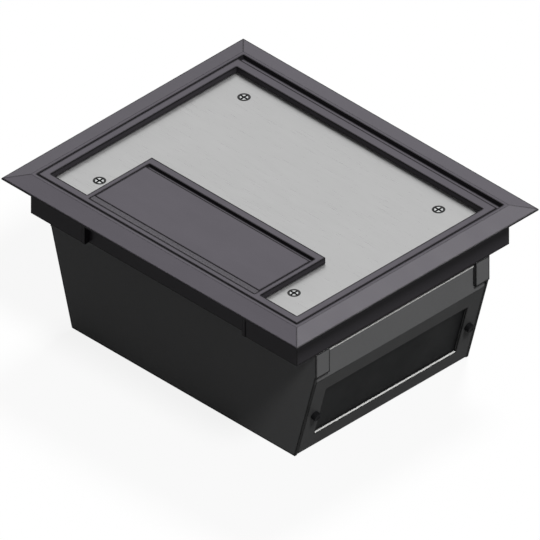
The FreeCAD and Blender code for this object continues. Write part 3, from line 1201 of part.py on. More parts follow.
def main():
    os.makedirs("parts", exist_ok=True)
    save("trim_frame", make_trim())
    save("ledge_seal", make_ledge_seal())
    save("lid_frame", make_lid_frame())
    save("lid_plate", make_lid_plate())
    save("lid_screws", *make_lid_screws())
    save("lid_hinge_pins", *make_lid_hinge_pins())
    save("cable_flap", make_flap())
    save("flap_lip", make_flap_lip())
    save("flap_hinge_pins", *make_flap_pins())

    save("box_pan", make_pan())
    save("wall_front", mirrored_y(make_wall()), mirrored_y(make_wall_flange()))
    save("wall_rear", less(make_wall(), make_entries()), make_wall_flange())
    save("box_screws", *make_box_screws())
    save("box_nuts", *make_box_nuts())
    save("end_plate_left", make_end_plate(-1))
    save("end_plate_right", make_end_plate(1))
    save("end_bushes", *make_end_bushes())
    save("end_screws", *make_end_screws())

    rail = make_rail()
    save("rail_front", mirrored_y(rail))
    save("rail_rear", rail)
    save("rail_nuts", *make_rail_nuts())
    save("divider_left", make_divider(-1))
    save("divider_right", make_divider(1))
    save("divider_rivets", *make_rivets())
    save("plate_screws", *make_plate_screws())

    save("socket_plate", make_socket_plate())
    save("socket_housing", make_socket_housing())
    save("socket_earth_bar", make_earth_bar())
    save("socket_neutral_bar", make_neutral_bar())
    save("socket_live_contacts", *make_live_contacts())
    save("socket_terminal_screws", *make_terminal_screws())
    for side, word in ((-1, "front"), (1, "rear")):
        save("rocker_" + word, make_rocker(side))
        save("shutter_" + word, make_shutter(side))
        save("shutter_spring_" + word, make_shutter_spring(side))

    save("data_plate", make_data_plate())
    save("data_outlets", *make_outlets())
    save("blank_plate", accessory_blank(BLANK_X, ACCESSORY_SHEET))
    save("earth_stud", make_stud())
    save("earth_nuts", *make_stud_nuts())

    for number, (x, y) in enumerate(clamp_places(), start=1):
        save(f"clamp_screw_{number}", make_clamp_screw(x, y))
        save(f"clamp_clip_{number}", make_clamp_clip(x, y))
        save(f"clamp_claw_{number}", make_claw(x, y))


main()
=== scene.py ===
import math
from typing import NamedTuple

import bpy
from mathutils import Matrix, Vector


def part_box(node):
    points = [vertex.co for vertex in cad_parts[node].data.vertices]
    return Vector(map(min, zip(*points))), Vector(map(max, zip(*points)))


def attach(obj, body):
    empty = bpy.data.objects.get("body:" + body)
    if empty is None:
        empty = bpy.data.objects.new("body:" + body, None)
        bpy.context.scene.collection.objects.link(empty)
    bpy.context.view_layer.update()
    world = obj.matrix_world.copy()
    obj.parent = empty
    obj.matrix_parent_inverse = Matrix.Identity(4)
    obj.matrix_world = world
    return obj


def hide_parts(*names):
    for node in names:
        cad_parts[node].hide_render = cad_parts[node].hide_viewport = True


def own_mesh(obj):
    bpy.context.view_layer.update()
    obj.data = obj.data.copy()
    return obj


bl_info = {
    "name": "Floor Socket Box",
    "version": (1, 0, 0),
    "blender": (4, 5, 0),
    "location": "3D View > Sidebar > Floor Box",
    "description": "Finishes, soft parts, threads and stage for a floor socket box with a hinged lid",
    "category": "Object",
}

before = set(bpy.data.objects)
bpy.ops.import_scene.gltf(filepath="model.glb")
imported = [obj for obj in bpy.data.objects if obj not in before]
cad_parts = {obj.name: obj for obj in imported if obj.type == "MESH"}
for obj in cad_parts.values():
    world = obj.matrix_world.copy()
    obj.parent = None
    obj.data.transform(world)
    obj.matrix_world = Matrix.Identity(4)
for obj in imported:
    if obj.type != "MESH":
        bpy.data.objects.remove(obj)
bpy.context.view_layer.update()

MM = 0.001
CLAMP_NUMBERS = (1, 2, 3, 4)

# Half of the soft border of a drawn mask
SOFT = 0.08 * MM
# Points closer than this are one point
WELD_REACH = 0.001 * MM
# Edges that bend by more than this look sharp, and are eased where a piece has an arris
SHARP_ANGLE = math.radians(35)
# Half of a thread ridge's foot as a share of the pitch, and its root in the shank as a share of its depth
RIDGE_HALF_SHARE = 0.42
RIDGE_SUNK_SHARE = 0.25
# Height of the seal's sides as a share of its whole height
SEAL_SHOULDER = 0.35

# Half of the floor's side, in metres, and its level just under the object
FLOOR_HALF = 12.0
FLOOR_LEVEL = -0.2 * MM
# Directions from the object to the two lamps, and how wide each looks in degrees
KEY_DIRECTION = (0.56, -0.09, 0.823)
KEY_SPREAD = 13
TOP_DIRECTION = (-0.22, 0.52, 0.825)
TOP_SPREAD = 14
# Distance of the camera from the object, and the nearest and farthest that it sees, in metres
CAMERA_DISTANCE = 1.5
CAMERA_CLIPS = (0.05, 30.0)
# Elevation of a cube's diagonal over its base, in degrees
CUBE_DIAGONAL = math.degrees(math.atan(1 / math.sqrt(2)))

# Limits of a noise texture between which most of its values lie
TEXTURE_LOW = 0.3
TEXTURE_HIGH = 0.7
# Likeness of the rounded normal to the face's own, at an edge and away from it
EDGE_LIKENESS = 0.99
FACE_LIKENESS = 0.999
# Shares of open surroundings at which the painted shade in hollows is darkest, and at which it ends
HOLLOW_SHADE_FULL = 0.35
HOLLOW_SHADE_END = 0.85
# Places of the colour sockets in a mix node
MIX_FIRST = 6
MIX_SECOND = 7
MIX_RESULT = 2

# Painted shade, as shares of a finish's own colour
HOLLOW_PAINTED_SHADE = 0.3
UPRIGHT_PAINTED_SHADE = 0.12
UNDER_PAINTED_SHADE = 0.42
MOULDING_PAINTED_EDGE_SHADE = 0.1
SHEET_PAINTED_EDGE_SHADE = 0.08
SEAT_PAINTED_SHADOW = 0.06
RECESS_PAINTED_SHADE = 0.04
# How far the upright faces of a moulding take on their painted shade
UPRIGHT_PAINTED_SHADE_SHARE = 0.78
# Index of refraction of the matt surfaces
MATT_IOR = 1.12

# How squarely a face looks up the sloped end from which it counts as a near-white cut edge, bare steel and
# painted highlight, as a span
LOOKS_UP_SLOPE = (0.9, 0.92)
# How squarely a face looks along X from which it counts as the outside of an end
LOOKS_OUTWARD = 0.8
# Heights just over the pan's floor, and between the pan and the walls' top flanges
OVER_FLOOR = (4.5 * MM, 5 * MM)
UNDER_FLANGES = (120 * MM, 121 * MM)


# Settings that a user would change

def colour_setting(name, text, value):
    """A colour with its default."""
    return bpy.props.FloatVectorProperty(name=name, description=text, default=value, min=0.0, max=1.0,
                                         size=3, subtype="COLOR")


def size_setting(name, text, millimetres):
    """A length in metres, given in millimetres."""
    return bpy.props.FloatProperty(name=name, description=text, default=millimetres * MM, min=0.0,
                                   subtype="DISTANCE", unit="LENGTH", precision=5)


def level_setting(name, text, value, top=10.0):
    """A plain number from nought up to a top value."""
    return bpy.props.FloatProperty(name=name, description=text, default=value, min=0.0, max=top)


def angle_setting(name, text, degrees):
    """An angle in radians, given in degrees."""
    return bpy.props.FloatProperty(name=name, description=text, default=math.radians(degrees),
                                   subtype="ANGLE", unit="ROTATION")


def count_setting(name, text, value):
    """A whole number."""
    return bpy.props.IntProperty(name=name, description=text, default=value, min=1)


class FloorBoxFinish(bpy.types.PropertyGroup):
    """Colours of the box's finishes."""
    moulding: colour_setting("Mouldings", "Trim, lid border and flap", (0.116, 0.108, 0.124))
    lid_steel: colour_setting("Lid plate", "Bare steel of the sunk plate", (0.35, 0.35, 0.35))
    box_coat: colour_setting("Box coat", "Coat on the sheet steel box", (0.178, 0.179, 0.181))
    end_coat: colour_setting("End plate coat", "Coat on the end and blank plates", (0.012, 0.0125, 0.013))
    # Near white of the bare cut edges, which also paints their highlight and a light line along the ends'
    # tops
    cut_edge_and_highlight: colour_setting("Cut edge", "Bare steel where the sheet is cut", (0.86, 0.86, 0.84))
    zinc: colour_setting("Zinc", "Plated screws, clips and claws", (0.42, 0.43, 0.43))
    galvanised: colour_setting("Galvanised", "Rails and dividers", (0.46, 0.47, 0.48))
    bush: colour_setting("Bushes", "Black bushes in the sloped ends", (0.010, 0.010, 0.011))
    socket_white: colour_setting("Socket white", "Socket plate and rockers", (0.78, 0.78, 0.75))
    shutter: colour_setting("Shutters", "Grey shutters behind the pin slots", (0.30, 0.30, 0.29))
    housing: colour_setting("Housing", "Moulding behind the socket plate", (0.60, 0.60, 0.56))
    brass: colour_setting("Brass", "Contacts and earth stud", (0.62, 0.45, 0.20))
    outlet: colour_setting("Data outlet", "Dark mouldings of the data outlets", (0.035, 0.035, 0.038))
    rubber: colour_setting("Rubber", "Lip of the flap", (0.110, 0.104, 0.116))
    foam: colour_setting("Foam", "Seal under the lid's edge", (0.022, 0.022, 0.024))


class FloorBoxGrain(bpy.types.PropertyGroup):
    """Sizes of the surface detail and of the small formed parts."""
    moulding_grain: size_setting("Moulding grain", "Width of one grain in the moulded surface", 0.55)
    coat_grain: size_setting("Coat grain", "Width of one ripple in the box's coat", 0.9)
    rolling_width: size_setting("Rolling marks", "Width of the rolling marks in bare sheet", 0.35)
    rolling_length: size_setting("Rolling length", "Length of the rolling marks in bare sheet", 30.0)
    spangle: size_setting("Spangle", "Width of a crystal in the galvanised sheet", 7.0)
    arris: size_setting("Arris", "Width of the eased edges of the mouldings", 0.35)
    sheet_arris: size_setting("Sheet arris", "Width of the eased edges of the sheet parts", 0.2)
    # Reach of the painted shade along every edge and inner corner
    edge: size_setting("Dark edge", "How far the dark band along an edge fades out over its faces", 2.2)
    thread_pitch: size_setting("Thread pitch", "Pitch of the clamp screws' thread", 0.8)
    thread_depth: size_setting("Thread depth", "Depth of the clamp screws' thread", 0.42)


class FloorBoxStage(bpy.types.PropertyGroup):
    """Floor, light and camera."""
    key: level_setting("Key light", "Strength of the light from the right", 2.04)
    top: level_setting("Top light", "Strength of the light from above", 1.5)
    world: level_setting("World", "Strength of the even light from all round", 0.08)
    floor_diffuse: level_setting("Floor", "How much light the floor gives back", 0.13, 1.0)
    view_width: size_setting("View width", "Width of the picture on the object", 427.86)
    view_height: size_setting("View centre", "Height of the picture's centre over the floor", 69.86)
    azimuth: angle_setting("Azimuth", "Direction that the camera looks from", 45.0)
    elevation: angle_setting("Elevation", "Height of the camera over the horizon", CUBE_DIAGONAL)


# Node helpers

class Recipe:
    """A material under construction, with short calls for the nodes it uses."""

    def __init__(self, name, colour, roughness, metallic=0.0, specular=0.5, ior=1.5):
        self.material = bpy.data.materials.new(name)
        self.material.use_nodes = True
        self.tree = self.material.node_tree
        self.shader = self.tree.nodes["Principled BSDF"]
        self.colour = tuple(colour) + (1.0,)
        self.roughness = roughness
        self.shader.inputs["Base Color"].default_value = self.colour
        self.shader.inputs["Roughness"].default_value = roughness
        self.shader.inputs["Metallic"].default_value = metallic
        self.shader.inputs["Specular IOR Level"].default_value = specular
        self.shader.inputs["IOR"].default_value = ior
        self.material.diffuse_color = self.colour
        self.place = self.add("ShaderNodeTexCoord")

    def add(self, kind, **settings):
        """A new node with some of its settings."""
        node = self.tree.nodes.new(kind)
        for key, value in settings.items():
            setattr(node, key, value)
        return node

    def join(self, source, target):
        """Link one socket to another."""
        self.tree.links.new(source, target)

    def feed(self, socket, value):
        """Give a socket a plain value or another node's output."""
        if isinstance(value, bpy.types.NodeSocket):
            self.join(value, socket)
        else:
            socket.default_value = value

    def scaled(self, sizes):
        """Object coordinates counted in units of the given sizes, in metres along X, Y and Z."""
        mapping = self.add("ShaderNodeMapping")
        mapping.inputs["Scale"].default_value = [1.0 / size for size in sizes]
        self.join(self.place.outputs["Object"], mapping.inputs["Vector"])
        return mapping.outputs["Vector"]

    def noise(self, sizes, detail=3.0, roughness=0.55):
        """Cloudy noise with clouds of about the given sizes."""
        texture = self.add("ShaderNodeTexNoise")
        texture.inputs["Scale"].default_value = 1.0
        texture.inputs["Detail"].default_value = detail
        texture.inputs["Roughness"].default_value = roughness
        self.join(self.scaled(sizes), texture.inputs["Vector"])
        return texture.outputs["Fac"]

    def cells(self, size):
        """Rounded cells of one size, each with a colour of its own."""
        texture = self.add("ShaderNodeTexVoronoi")
        texture.inputs["Scale"].default_value = 1.0
        self.join(self.scaled(cube_of(size)), texture.inputs["Vector"])
        return texture

    def parts(self, output):
        """X, Y and Z of one of the coordinates that belong to the piece."""
        node = self.add("ShaderNodeSeparateXYZ")
        self.join(self.place.outputs[output], node.inputs["Vector"])
        return node.outputs["X"], node.outputs["Y"], node.outputs["Z"]

    def maths(self, operation, first, second=0.0):
        """The result of one operation on two values, or on the first alone."""
        node = self.add("ShaderNodeMath", operation=operation)
        self.feed(node.inputs[0], first)
        self.feed(node.inputs[1], second)
        return node.outputs["Value"]

    def ramp(self, source, low, high, out_low=0.0, out_high=1.0, smooth=False):
        """A value that goes with another between two limits, and stays level beyond them."""
        node = self.add("ShaderNodeMapRange", interpolation_type="SMOOTHSTEP" if smooth else "LINEAR")
        node.inputs["From Min"].default_value = low
        node.inputs["From Max"].default_value = high
        node.inputs["To Min"].default_value = out_low
        node.inputs["To Max"].default_value = out_high
        self.join(source, node.inputs["Value"])
        return node.outputs["Result"]

    def fall(self, source, low, high):
        """One up to a low limit, and none from a high limit on."""
        return self.ramp(source, low, high, 1.0, 0.0)

    def all_of(self, *masks):
        """One where every mask is one."""
        product = masks[0]
        for mask in masks[1:]:
            product = self.maths("MULTIPLY", product, mask)
        return product

    def band(self, source, rise, fall):
        """One between two spans, in which the mask rises and falls."""
        return self.all_of(self.ramp(source, *rise), self.fall(source, *fall))

    def from_screw(self, screws):
        """How far a point is from the axis of the nearest of four screws, along X and along Y."""
        offsets = []
        for place, middle, half in zip(self.parts("Object"), screws.middle, screws.half):
            off_middle = self.maths("ABSOLUTE", self.maths("SUBTRACT", place, middle))
            offsets.append(self.maths("ABSOLUTE", self.maths("SUBTRACT", off_middle, half)))
        return offsets

    def ring(self, screws, inner, outer):
        """One between two radii round each of four screws, and none elsewhere."""
        squares = [self.maths("MULTIPLY", offset, offset) for offset in self.from_screw(screws)]
        radius = self.maths("SQRT", self.maths("ADD", *squares))
        return self.band(radius, (inner - SOFT, inner + SOFT), (outer - SOFT, outer + SOFT))

    def cross(self, screws, half_width):
        """One along the two arms of a cross on each of four screws, and none elsewhere."""
        nearest = self.maths("MINIMUM", *self.from_screw(screws))
        return self.fall(nearest, half_width - SOFT, half_width + SOFT)

    def near_edge(self, reach):
        """One within a short reach of an edge or an inner corner, and none on the open faces."""
        rounded = self.add("ShaderNodeBevel", samples=8)
        rounded.inputs["Radius"].default_value = reach
        facet = self.add("ShaderNodeNewGeometry")
        likeness = self.add("ShaderNodeVectorMath", operation="DOT_PRODUCT")
        self.join(rounded.outputs["Normal"], likeness.inputs[0])
        self.join(facet.outputs["True Normal"], likeness.inputs[1])
        return self.fall(likeness.outputs["Value"], EDGE_LIKENESS, FACE_LIKENESS)

    def mix(self, factor, first, second):
        """A colour between two."""
        node = self.add("ShaderNodeMix", data_type="RGBA")
        self.feed(node.inputs["Factor"], factor)
        self.feed(node.inputs[MIX_FIRST], first)
        self.feed(node.inputs[MIX_SECOND], second)
        return node.outputs[MIX_RESULT]

    def shade(self, factor):
        """The finish's own colour, darker or lighter by a factor."""
        return tuple(min(channel * factor, 1.0) for channel in self.colour[:3]) + (1.0,)

    def toned(self, source, dark, light, low=TEXTURE_LOW, high=TEXTURE_HIGH):
        """The finish's own colour, from a dark to a light shade of it as a texture rises."""
        return self.mix(self.ramp(source, low, high), self.shade(dark), self.shade(light))

    def marked(self, colour, source, low, high, share, shade):
        """The colour with faint marks where a texture is high, in a shade of the finish's own."""
        return self.mix(self.ramp(source, low, high, 0.0, share, smooth=True), colour, self.shade(shade))

    def shade_hollows(self, colour, reach):
        """The colour with painted shade in seams and inner corners, darkest where the least of the
        surroundings is open.
        """
        node = self.add("ShaderNodeAmbientOcclusion", samples=16)
        node.inputs["Distance"].default_value = reach
        hollow_shade = self.ramp(node.outputs["AO"], HOLLOW_SHADE_FULL, HOLLOW_SHADE_END, 1.0, 0.0, smooth=True)
        return self.mix(hollow_shade, colour, self.shade(HOLLOW_PAINTED_SHADE))

    def paint(self, colour):
        """Use a colour on the surface."""
        self.join(colour, self.shader.inputs["Base Color"])

    def vary_roughness(self, source, spread):
        """Let the roughness go up and down by a spread as a texture does."""
        low, high = self.roughness - spread, self.roughness + spread
        self.join(self.ramp(source, TEXTURE_LOW, TEXTURE_HIGH, low, high), self.shader.inputs["Roughness"])

    def bump(self, height, distance, strength):
        """Raise the surface where a texture is high."""
        node = self.add("ShaderNodeBump")
        node.inputs["Distance"].default_value = distance
        node.inputs["Strength"].default_value = strength
        self.join(height, node.inputs["Height"])
        self.join(node.outputs["Normal"], self.shader.inputs["Normal"])


class FourScrews:
    """Places of four upright screws, read from the box round them all."""

    def __init__(self, node_name, head_radius):
        low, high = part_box(node_name)
        self.radius = head_radius
        self.middle = [(low[axis] + high[axis]) / 2 for axis in range(2)]
        self.half = [(high[axis] - low[axis]) / 2 - head_radius for axis in range(2)]


class FoldedEnd(NamedTuple):
    """Measures of the box's sloped ends that their coat goes by."""
    tilt: float
    foot_half_width: float
    bend: float
    top: float
    bare_depth: float
    seam_y: float
    tab_y: float
    tab_foot: float


def cube_of(size):
    """The same size along X, Y and Z."""
    return (size, size, size)


# Finishes

def moulded_grey(name, colour, grain, edge):
    """Dark moulded plastic with a fine spark-eroded grain, faint flow marks and light scuffs.

    The upright faces are painted darker, as painted shade, and painted shade also lies along the edges and in
    the seams and inner corners.
    """
    finish = Recipe(name, colour, roughness=0.32, ior=MATT_IOR)
    grains = finish.noise(cube_of(grain), detail=2.0)
    flow = finish.noise((60 * MM, 22 * MM, 22 * MM))
    scuffs = finish.noise((24 * MM, 1.3 * MM, 9 * MM), detail=6.0, roughness=0.7)
    streaked = finish.toned(flow, 0.95, 1.05, low=0.35, high=0.65)
    clean = finish.mix(0.5, streaked, finish.toned(grains, 0.93, 1.07))
    worn = finish.marked(clean, scuffs, low=0.66, high=0.8, share=0.18, shade=1.7)
    # Painted shade: the upright faces take on a dark shade of the colour, more the steeper they stand
    level = finish.maths("ABSOLUTE", finish.parts("Normal")[2])
    upright = finish.ramp(level, 0.3, 0.6, UPRIGHT_PAINTED_SHADE_SHARE, 0.0)
    drawn = finish.mix(upright, worn, finish.shade(UPRIGHT_PAINTED_SHADE))
    # Painted shade: a dark band along every edge and inner corner
    edge_shaded = finish.mix(finish.near_edge(edge), drawn, finish.shade(MOULDING_PAINTED_EDGE_SHADE))
    # Painted shade in seams and inner corners
    finish.paint(finish.shade_hollows(edge_shaded, 3.5 * MM))
    finish.vary_roughness(flow, 0.04)
    finish.bump(grains, 0.03 * MM, 0.55)
    return finish.material


def bare_sheet(name, colour, width, length, screws):
    """Rolled bare steel with long fine marks, faint blotches, a few scratches and a painted shadow ring round
    its screws.
    """
    finish = Recipe(name, colour, roughness=0.3, metallic=1.0)
    marks = finish.noise((length, width, length), detail=4.0, roughness=0.65)
    blotch = finish.noise(cube_of(45 * MM))
    scratch = finish.noise((0.5 * MM, 26 * MM, 26 * MM), detail=5.0, roughness=0.75)
    rolled = finish.toned(marks, 0.975, 1.025)
    stained = finish.marked(rolled, blotch, low=0.35, high=0.75, share=0.3, shade=0.95)
    scratched = finish.marked(stained, scratch, low=0.75, high=0.82, share=0.2, shade=1.15)
    # Painted shadow: a dark ring round each screw head on the plate
    painted_seat_shadow = finish.ring(screws, screws.radius - 0.1 * MM, screws.radius + 0.9 * MM)
    finish.paint(finish.mix(painted_seat_shadow, scratched, finish.shade(SEAT_PAINTED_SHADOW)))
    finish.vary_roughness(marks, 0.03)
    finish.bump(marks, 0.01 * MM, 0.3)
    return finish.material


def screw_head(name, colour, screws):
    """Plated screw head with painted shade in and along its cross recess and a painted shadow ring round its
    edge.
    """
    finish = Recipe(name, colour, roughness=0.34, metallic=1.0)
    cloud = finish.noise(cube_of(1.2 * MM), detail=4.0)
    # Painted shade: a dark cross in the recess and a dark ring at the head's edge
    recess = finish.cross(screws, 0.9 * MM)
    edge = finish.ring(screws, screws.radius - 1.1 * MM, screws.radius)
    painted_recess_shade = finish.maths("MAXIMUM", recess, edge)
    finish.paint(finish.mix(painted_recess_shade, finish.toned(cloud, 0.9, 1.08), finish.shade(RECESS_PAINTED_SHADE)))
    finish.vary_roughness(cloud, 0.08)
    finish.bump(cloud, 0.01 * MM, 0.4)
    return finish.material


def plated(name, colour, roughness=0.34):
    """Plated steel with a soft, slightly cloudy shine."""
    finish = Recipe(name, colour, roughness, metallic=1.0)
    cloud = finish.noise(cube_of(2.2 * MM), detail=4.0)
    finish.paint(finish.toned(cloud, 0.85, 1.08))
    finish.vary_roughness(cloud, 0.08)
    finish.bump(finish.noise(cube_of(0.3 * MM)), 0.01 * MM, 0.4)
    return finish.material


def spangled(name, colour, crystal):
    """Galvanised sheet with large flat crystals."""
    finish = Recipe(name, colour, roughness=0.42, metallic=0.9)
    crystals = finish.cells(crystal)
    tone = finish.add("ShaderNodeSeparateColor")
    finish.join(crystals.outputs["Color"], tone.inputs["Color"])
    finish.paint(finish.mix(tone.outputs["Red"], finish.shade(0.8), finish.shade(1.12)))
    finish.vary_roughness(tone.outputs["Green"], 0.08)
    finish.bump(finish.noise(cube_of(1.2 * MM), detail=4.0), 0.015 * MM, 0.4)
    return finish.material


def bare_steel_and_highlight(finish, end, outward_x, outside):
    """One where the sheet is near white, as bare steel and as a painted highlight.

    That is on the cut edges that look up the sloped ends, near their outside or above their bend, which are
    bare steel with a painted highlight, and in a thin strip along the top of their outer faces, between the
    corner tabs, which is a painted light line.
    """
    x, y, z = finish.parts("Object")
    up_slope = finish.maths("ADD", finish.maths("MULTIPLY", outward_x, math.sin(end.tilt)),
                            finish.maths("MULTIPLY", finish.parts("Normal")[2], math.cos(end.tilt)))
    out_of_slope = finish.maths("SUBTRACT",
                                finish.maths("MULTIPLY", finish.maths("ABSOLUTE", x), math.cos(end.tilt)),
                                finish.maths("MULTIPLY", z, math.sin(end.tilt)))
    bare_from = end.foot_half_width * math.cos(end.tilt) - end.bare_depth
    near_outside = finish.ramp(out_of_slope, bare_from - 0.1 * MM, bare_from)
    above_bend = finish.ramp(z, end.bend, end.bend + 1 * MM)
    # Bare steel with a painted highlight: cut edges that face up the slope
    cut_edges = finish.all_of(finish.ramp(up_slope, *LOOKS_UP_SLOPE),
                              finish.maths("MAXIMUM", near_outside, above_bend),
                              finish.band(z, OVER_FLOOR, UNDER_FLANGES))
    # Painted highlight: a light line along the top of the outer faces
    painted_light_line = finish.band(z, (end.top - 1.0 * MM, end.top - 0.8 * MM), (end.top, end.top + 0.1 * MM))
    between_tabs = finish.fall(finish.maths("ABSOLUTE", y), end.tab_y - 0.1 * MM, end.tab_y)
    return finish.maths("MAXIMUM", cut_edges, finish.all_of(painted_light_line, outside, between_tabs))


def dark_ends_and_tab_shadow(finish, end, outside):
    """One on the outer faces of the ends: a darker strip, and a painted shadow.

    That is on the ends of the side walls, outside the seam that joins them to the pan, and, as a painted
    shadow line, in a narrow strip along the edge of each corner tab.
    """
    _, y, z = finish.parts("Object")
    from_middle = finish.maths("ABSOLUTE", y)
    # Darker ends of the side walls, outside the seam
    dark_wall_ends = finish.all_of(finish.ramp(from_middle, end.seam_y - 0.3 * MM, end.seam_y - 0.2 * MM),
                           finish.fall(z, end.bend - 1 * MM, end.bend))
    # Painted shadow: a dark line along the edge of each corner tab
    painted_tab_shadow = finish.all_of(finish.band(from_middle, (end.tab_y - 0.7 * MM, end.tab_y - 0.5 * MM),
                                           (end.tab_y + 0.2 * MM, end.tab_y + 0.3 * MM)),
                               finish.ramp(z, end.tab_foot - 0.2 * MM, end.tab_foot))
    return finish.all_of(finish.maths("MAXIMUM", dark_wall_ends, painted_tab_shadow), outside)


def sheet_coat(name, colour, cut_edge_and_highlight_colour, grain, edge, end):
    """Dark coat on folded sheet, near white at some cut edges as bare steel and painted highlight, and with
    painted shade along edges and seams.

    The faces that look down, such as the sloped ends, carry a painted shade.
    """
    finish = Recipe(name, colour, roughness=0.6, ior=MATT_IOR)
    ripples = finish.noise(cube_of(grain))
    cloud = finish.noise(cube_of(38 * MM), detail=4.0)
    painted = finish.mix(0.5, finish.toned(cloud, 0.92, 1.08), finish.toned(ripples, 0.9, 1.1))
    normal_x, _, normal_z = finish.parts("Normal")
    outward_x = finish.maths("MULTIPLY", normal_x, finish.maths("SIGN", finish.parts("Object")[0]))
    outside = finish.maths("GREATER_THAN", outward_x, LOOKS_OUTWARD)
    # Painted shade: the faces that look down take on a dark shade of the coat
    under_shade_mask = finish.fall(normal_z, -0.2, -0.15)
    # Painted shade in seams and inner corners
    shaded = finish.shade_hollows(finish.mix(under_shade_mask, painted, finish.shade(UNDER_PAINTED_SHADE)), 3 * MM)
    # Painted shade along every edge and inner corner, with the dark wall ends and the painted tab shadow
    dark = finish.maths("MAXIMUM", dark_ends_and_tab_shadow(finish, end, outside), finish.near_edge(edge))
    edge_and_strip_shaded = finish.mix(dark, shaded, finish.shade(SHEET_PAINTED_EDGE_SHADE))
    bare = bare_steel_and_highlight(finish, end, outward_x, outside)
    finish.paint(finish.mix(bare, edge_and_strip_shaded, tuple(cut_edge_and_highlight_colour) + (1.0,)))
    finish.vary_roughness(cloud, 0.05)
    finish.bump(ripples, 0.04 * MM, 0.45)
    return finish.material


def plain_coat(name, colour, grain):
    """The same coat on a plate or a bush that has no cut edge to show."""
    finish = Recipe(name, colour, roughness=0.6, ior=MATT_IOR)
    ripples = finish.noise(cube_of(grain))
    finish.paint(finish.toned(ripples, 0.88, 1.12))
    finish.vary_roughness(finish.noise(cube_of(30 * MM)), 0.05)
    finish.bump(ripples, 0.04 * MM, 0.45)
    return finish.material


def glossy_moulding(name, colour):
    """Smooth pale moulding with faint sink marks and dust."""
    finish = Recipe(name, colour, roughness=0.4)
    sink = finish.noise(cube_of(14 * MM), detail=1.0)
    dust = finish.noise(cube_of(0.7 * MM), detail=5.0, roughness=0.7)
    clean = finish.toned(sink, 0.97, 1.02)
    finish.paint(finish.marked(clean, dust, low=0.62, high=0.78, share=0.25, shade=0.8))
    finish.vary_roughness(sink, 0.05)
    finish.bump(sink, 0.05 * MM, 0.3)
    return finish.material


def rubbery(name, colour, pore):
    """Soft rubber or foam with small pores."""
    finish = Recipe(name, colour, roughness=0.8, specular=0.2)
    depth = finish.cells(pore).outputs["Distance"]
    finish.paint(finish.toned(depth, 0.7, 1.15, low=0.1, high=0.6))
    finish.vary_roughness(finish.noise(cube_of(5 * MM)), 0.06)
    finish.bump(depth, 0.05 * MM, 0.6)
    return finish.material


# Fitting finishes and soft edges to the frame's nodes

def coat(node_names, material):
    """Put one material on CAD nodes."""
    for name in node_names:
        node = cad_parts[name]
        node.data.materials.clear()
        node.data.materials.append(material)


def ease_edges(node_names, width):
    """A small arris on the sharp edges of CAD nodes."""
    for name in node_names:
        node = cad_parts[name]
        weld = node.modifiers.new("Weld", "WELD")
        weld.merge_threshold = WELD_REACH
        arris = node.modifiers.new("Arris", "BEVEL")
        arris.width = width
        arris.segments = 2
        arris.limit_method = "ANGLE"
        arris.angle_limit = SHARP_ANGLE
        arris.use_clamp_overlap = True
        arris.harden_normals = True


def new_piece(name, mesh, material, body):
    """A finished piece that rides on a body."""
    piece = bpy.data.objects.new(name, mesh)
    bpy.context.scene.collection.objects.link(piece)
    mesh.materials.append(material)
    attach(piece, body)
    return piece


# Shapes of the new pieces

def mesh_of(name, points, faces):
    """A mesh that looks smooth up to the sharp angle."""
    mesh = bpy.data.meshes.new(name)
    mesh.from_pydata(points, [], faces)
    mesh.update()
    for face in mesh.polygons:
        face.use_smooth = True
    mesh.set_sharp_from_angle(angle=SHARP_ANGLE)
    return mesh


def tube(name, points, sides):
    """A solid from rows of points round a closed section, with a face at both ends."""
    last = len(points) - sides
    faces = [(row + i, row + (i + 1) % sides, row + sides + (i + 1) % sides, row + sides + i)
             for row in range(0, last, sides) for i in range(sides)]
    faces += [tuple(reversed(range(sides))), tuple(range(last, last + sides))]
    return mesh_of(name, points, faces)


def quarter(y, z, radius, start_degrees, steps=6):
    """Points of a quarter circle about (y, z), turning toward larger angles."""
    turns = [math.radians(start_degrees + 90 * step / steps) for step in range(steps + 1)]
    return [(y + radius * math.cos(turn), z + radius * math.sin(turn)) for turn in turns]


def extruded(name, outline, x0, x1):
    """A closed outline of (y, z) points, drawn out along X."""
    return tube(name, [(x, y, z) for x in (x0, x1) for y, z in outline], len(outline))


def swept(name, route, section):
    """A section of (outward, z) points, drawn along a level route with mitred corners and closed ends."""
    points = []
    for index, here in enumerate(route):
        before = Vector(route[max(index - 1, 0)])
        after = Vector(route[min(index + 1, len(route) - 1)])
        here = Vector(here)
        runs = [run.normalized() for run in (here - before, after - here) if run.length > 0]
        outward = sum((Vector((run.y, -run.x)) for run in runs), Vector((0, 0))).normalized()
        stretch = 1 / outward.dot(Vector((runs[0].y, -runs[0].x)))
        points += [(here.x - outward.x * offset * stretch, here.y - outward.y * offset * stretch, z)
                   for offset, z in section]
    return tube(name, points, len(section))


def helix(name, centre, low, high, core, pitch, depth, facets):
    """A V-shaped thread ridge around an upright shank, a little into it so that no gap shows."""
    x, y = centre
    sunk = core - depth * RIDGE_SUNK_SHARE
    half = pitch * RIDGE_HALF_SHARE
    rows = int((high - low - 2 * half) / pitch * facets)
    points = []
    for row in range(rows + 1):
        turn = 2 * math.pi * row / facets
        z = low + half + pitch * row / facets
        taper = min(1.0, row / facets, (rows - row) / facets)
        for radius, rise in ((sunk, -half), (core + depth * taper, 0.0), (sunk, half)):
            points.append((x + radius * math.cos(turn), y + radius * math.sin(turn), z + rise))
    return tube(name, points, 3)


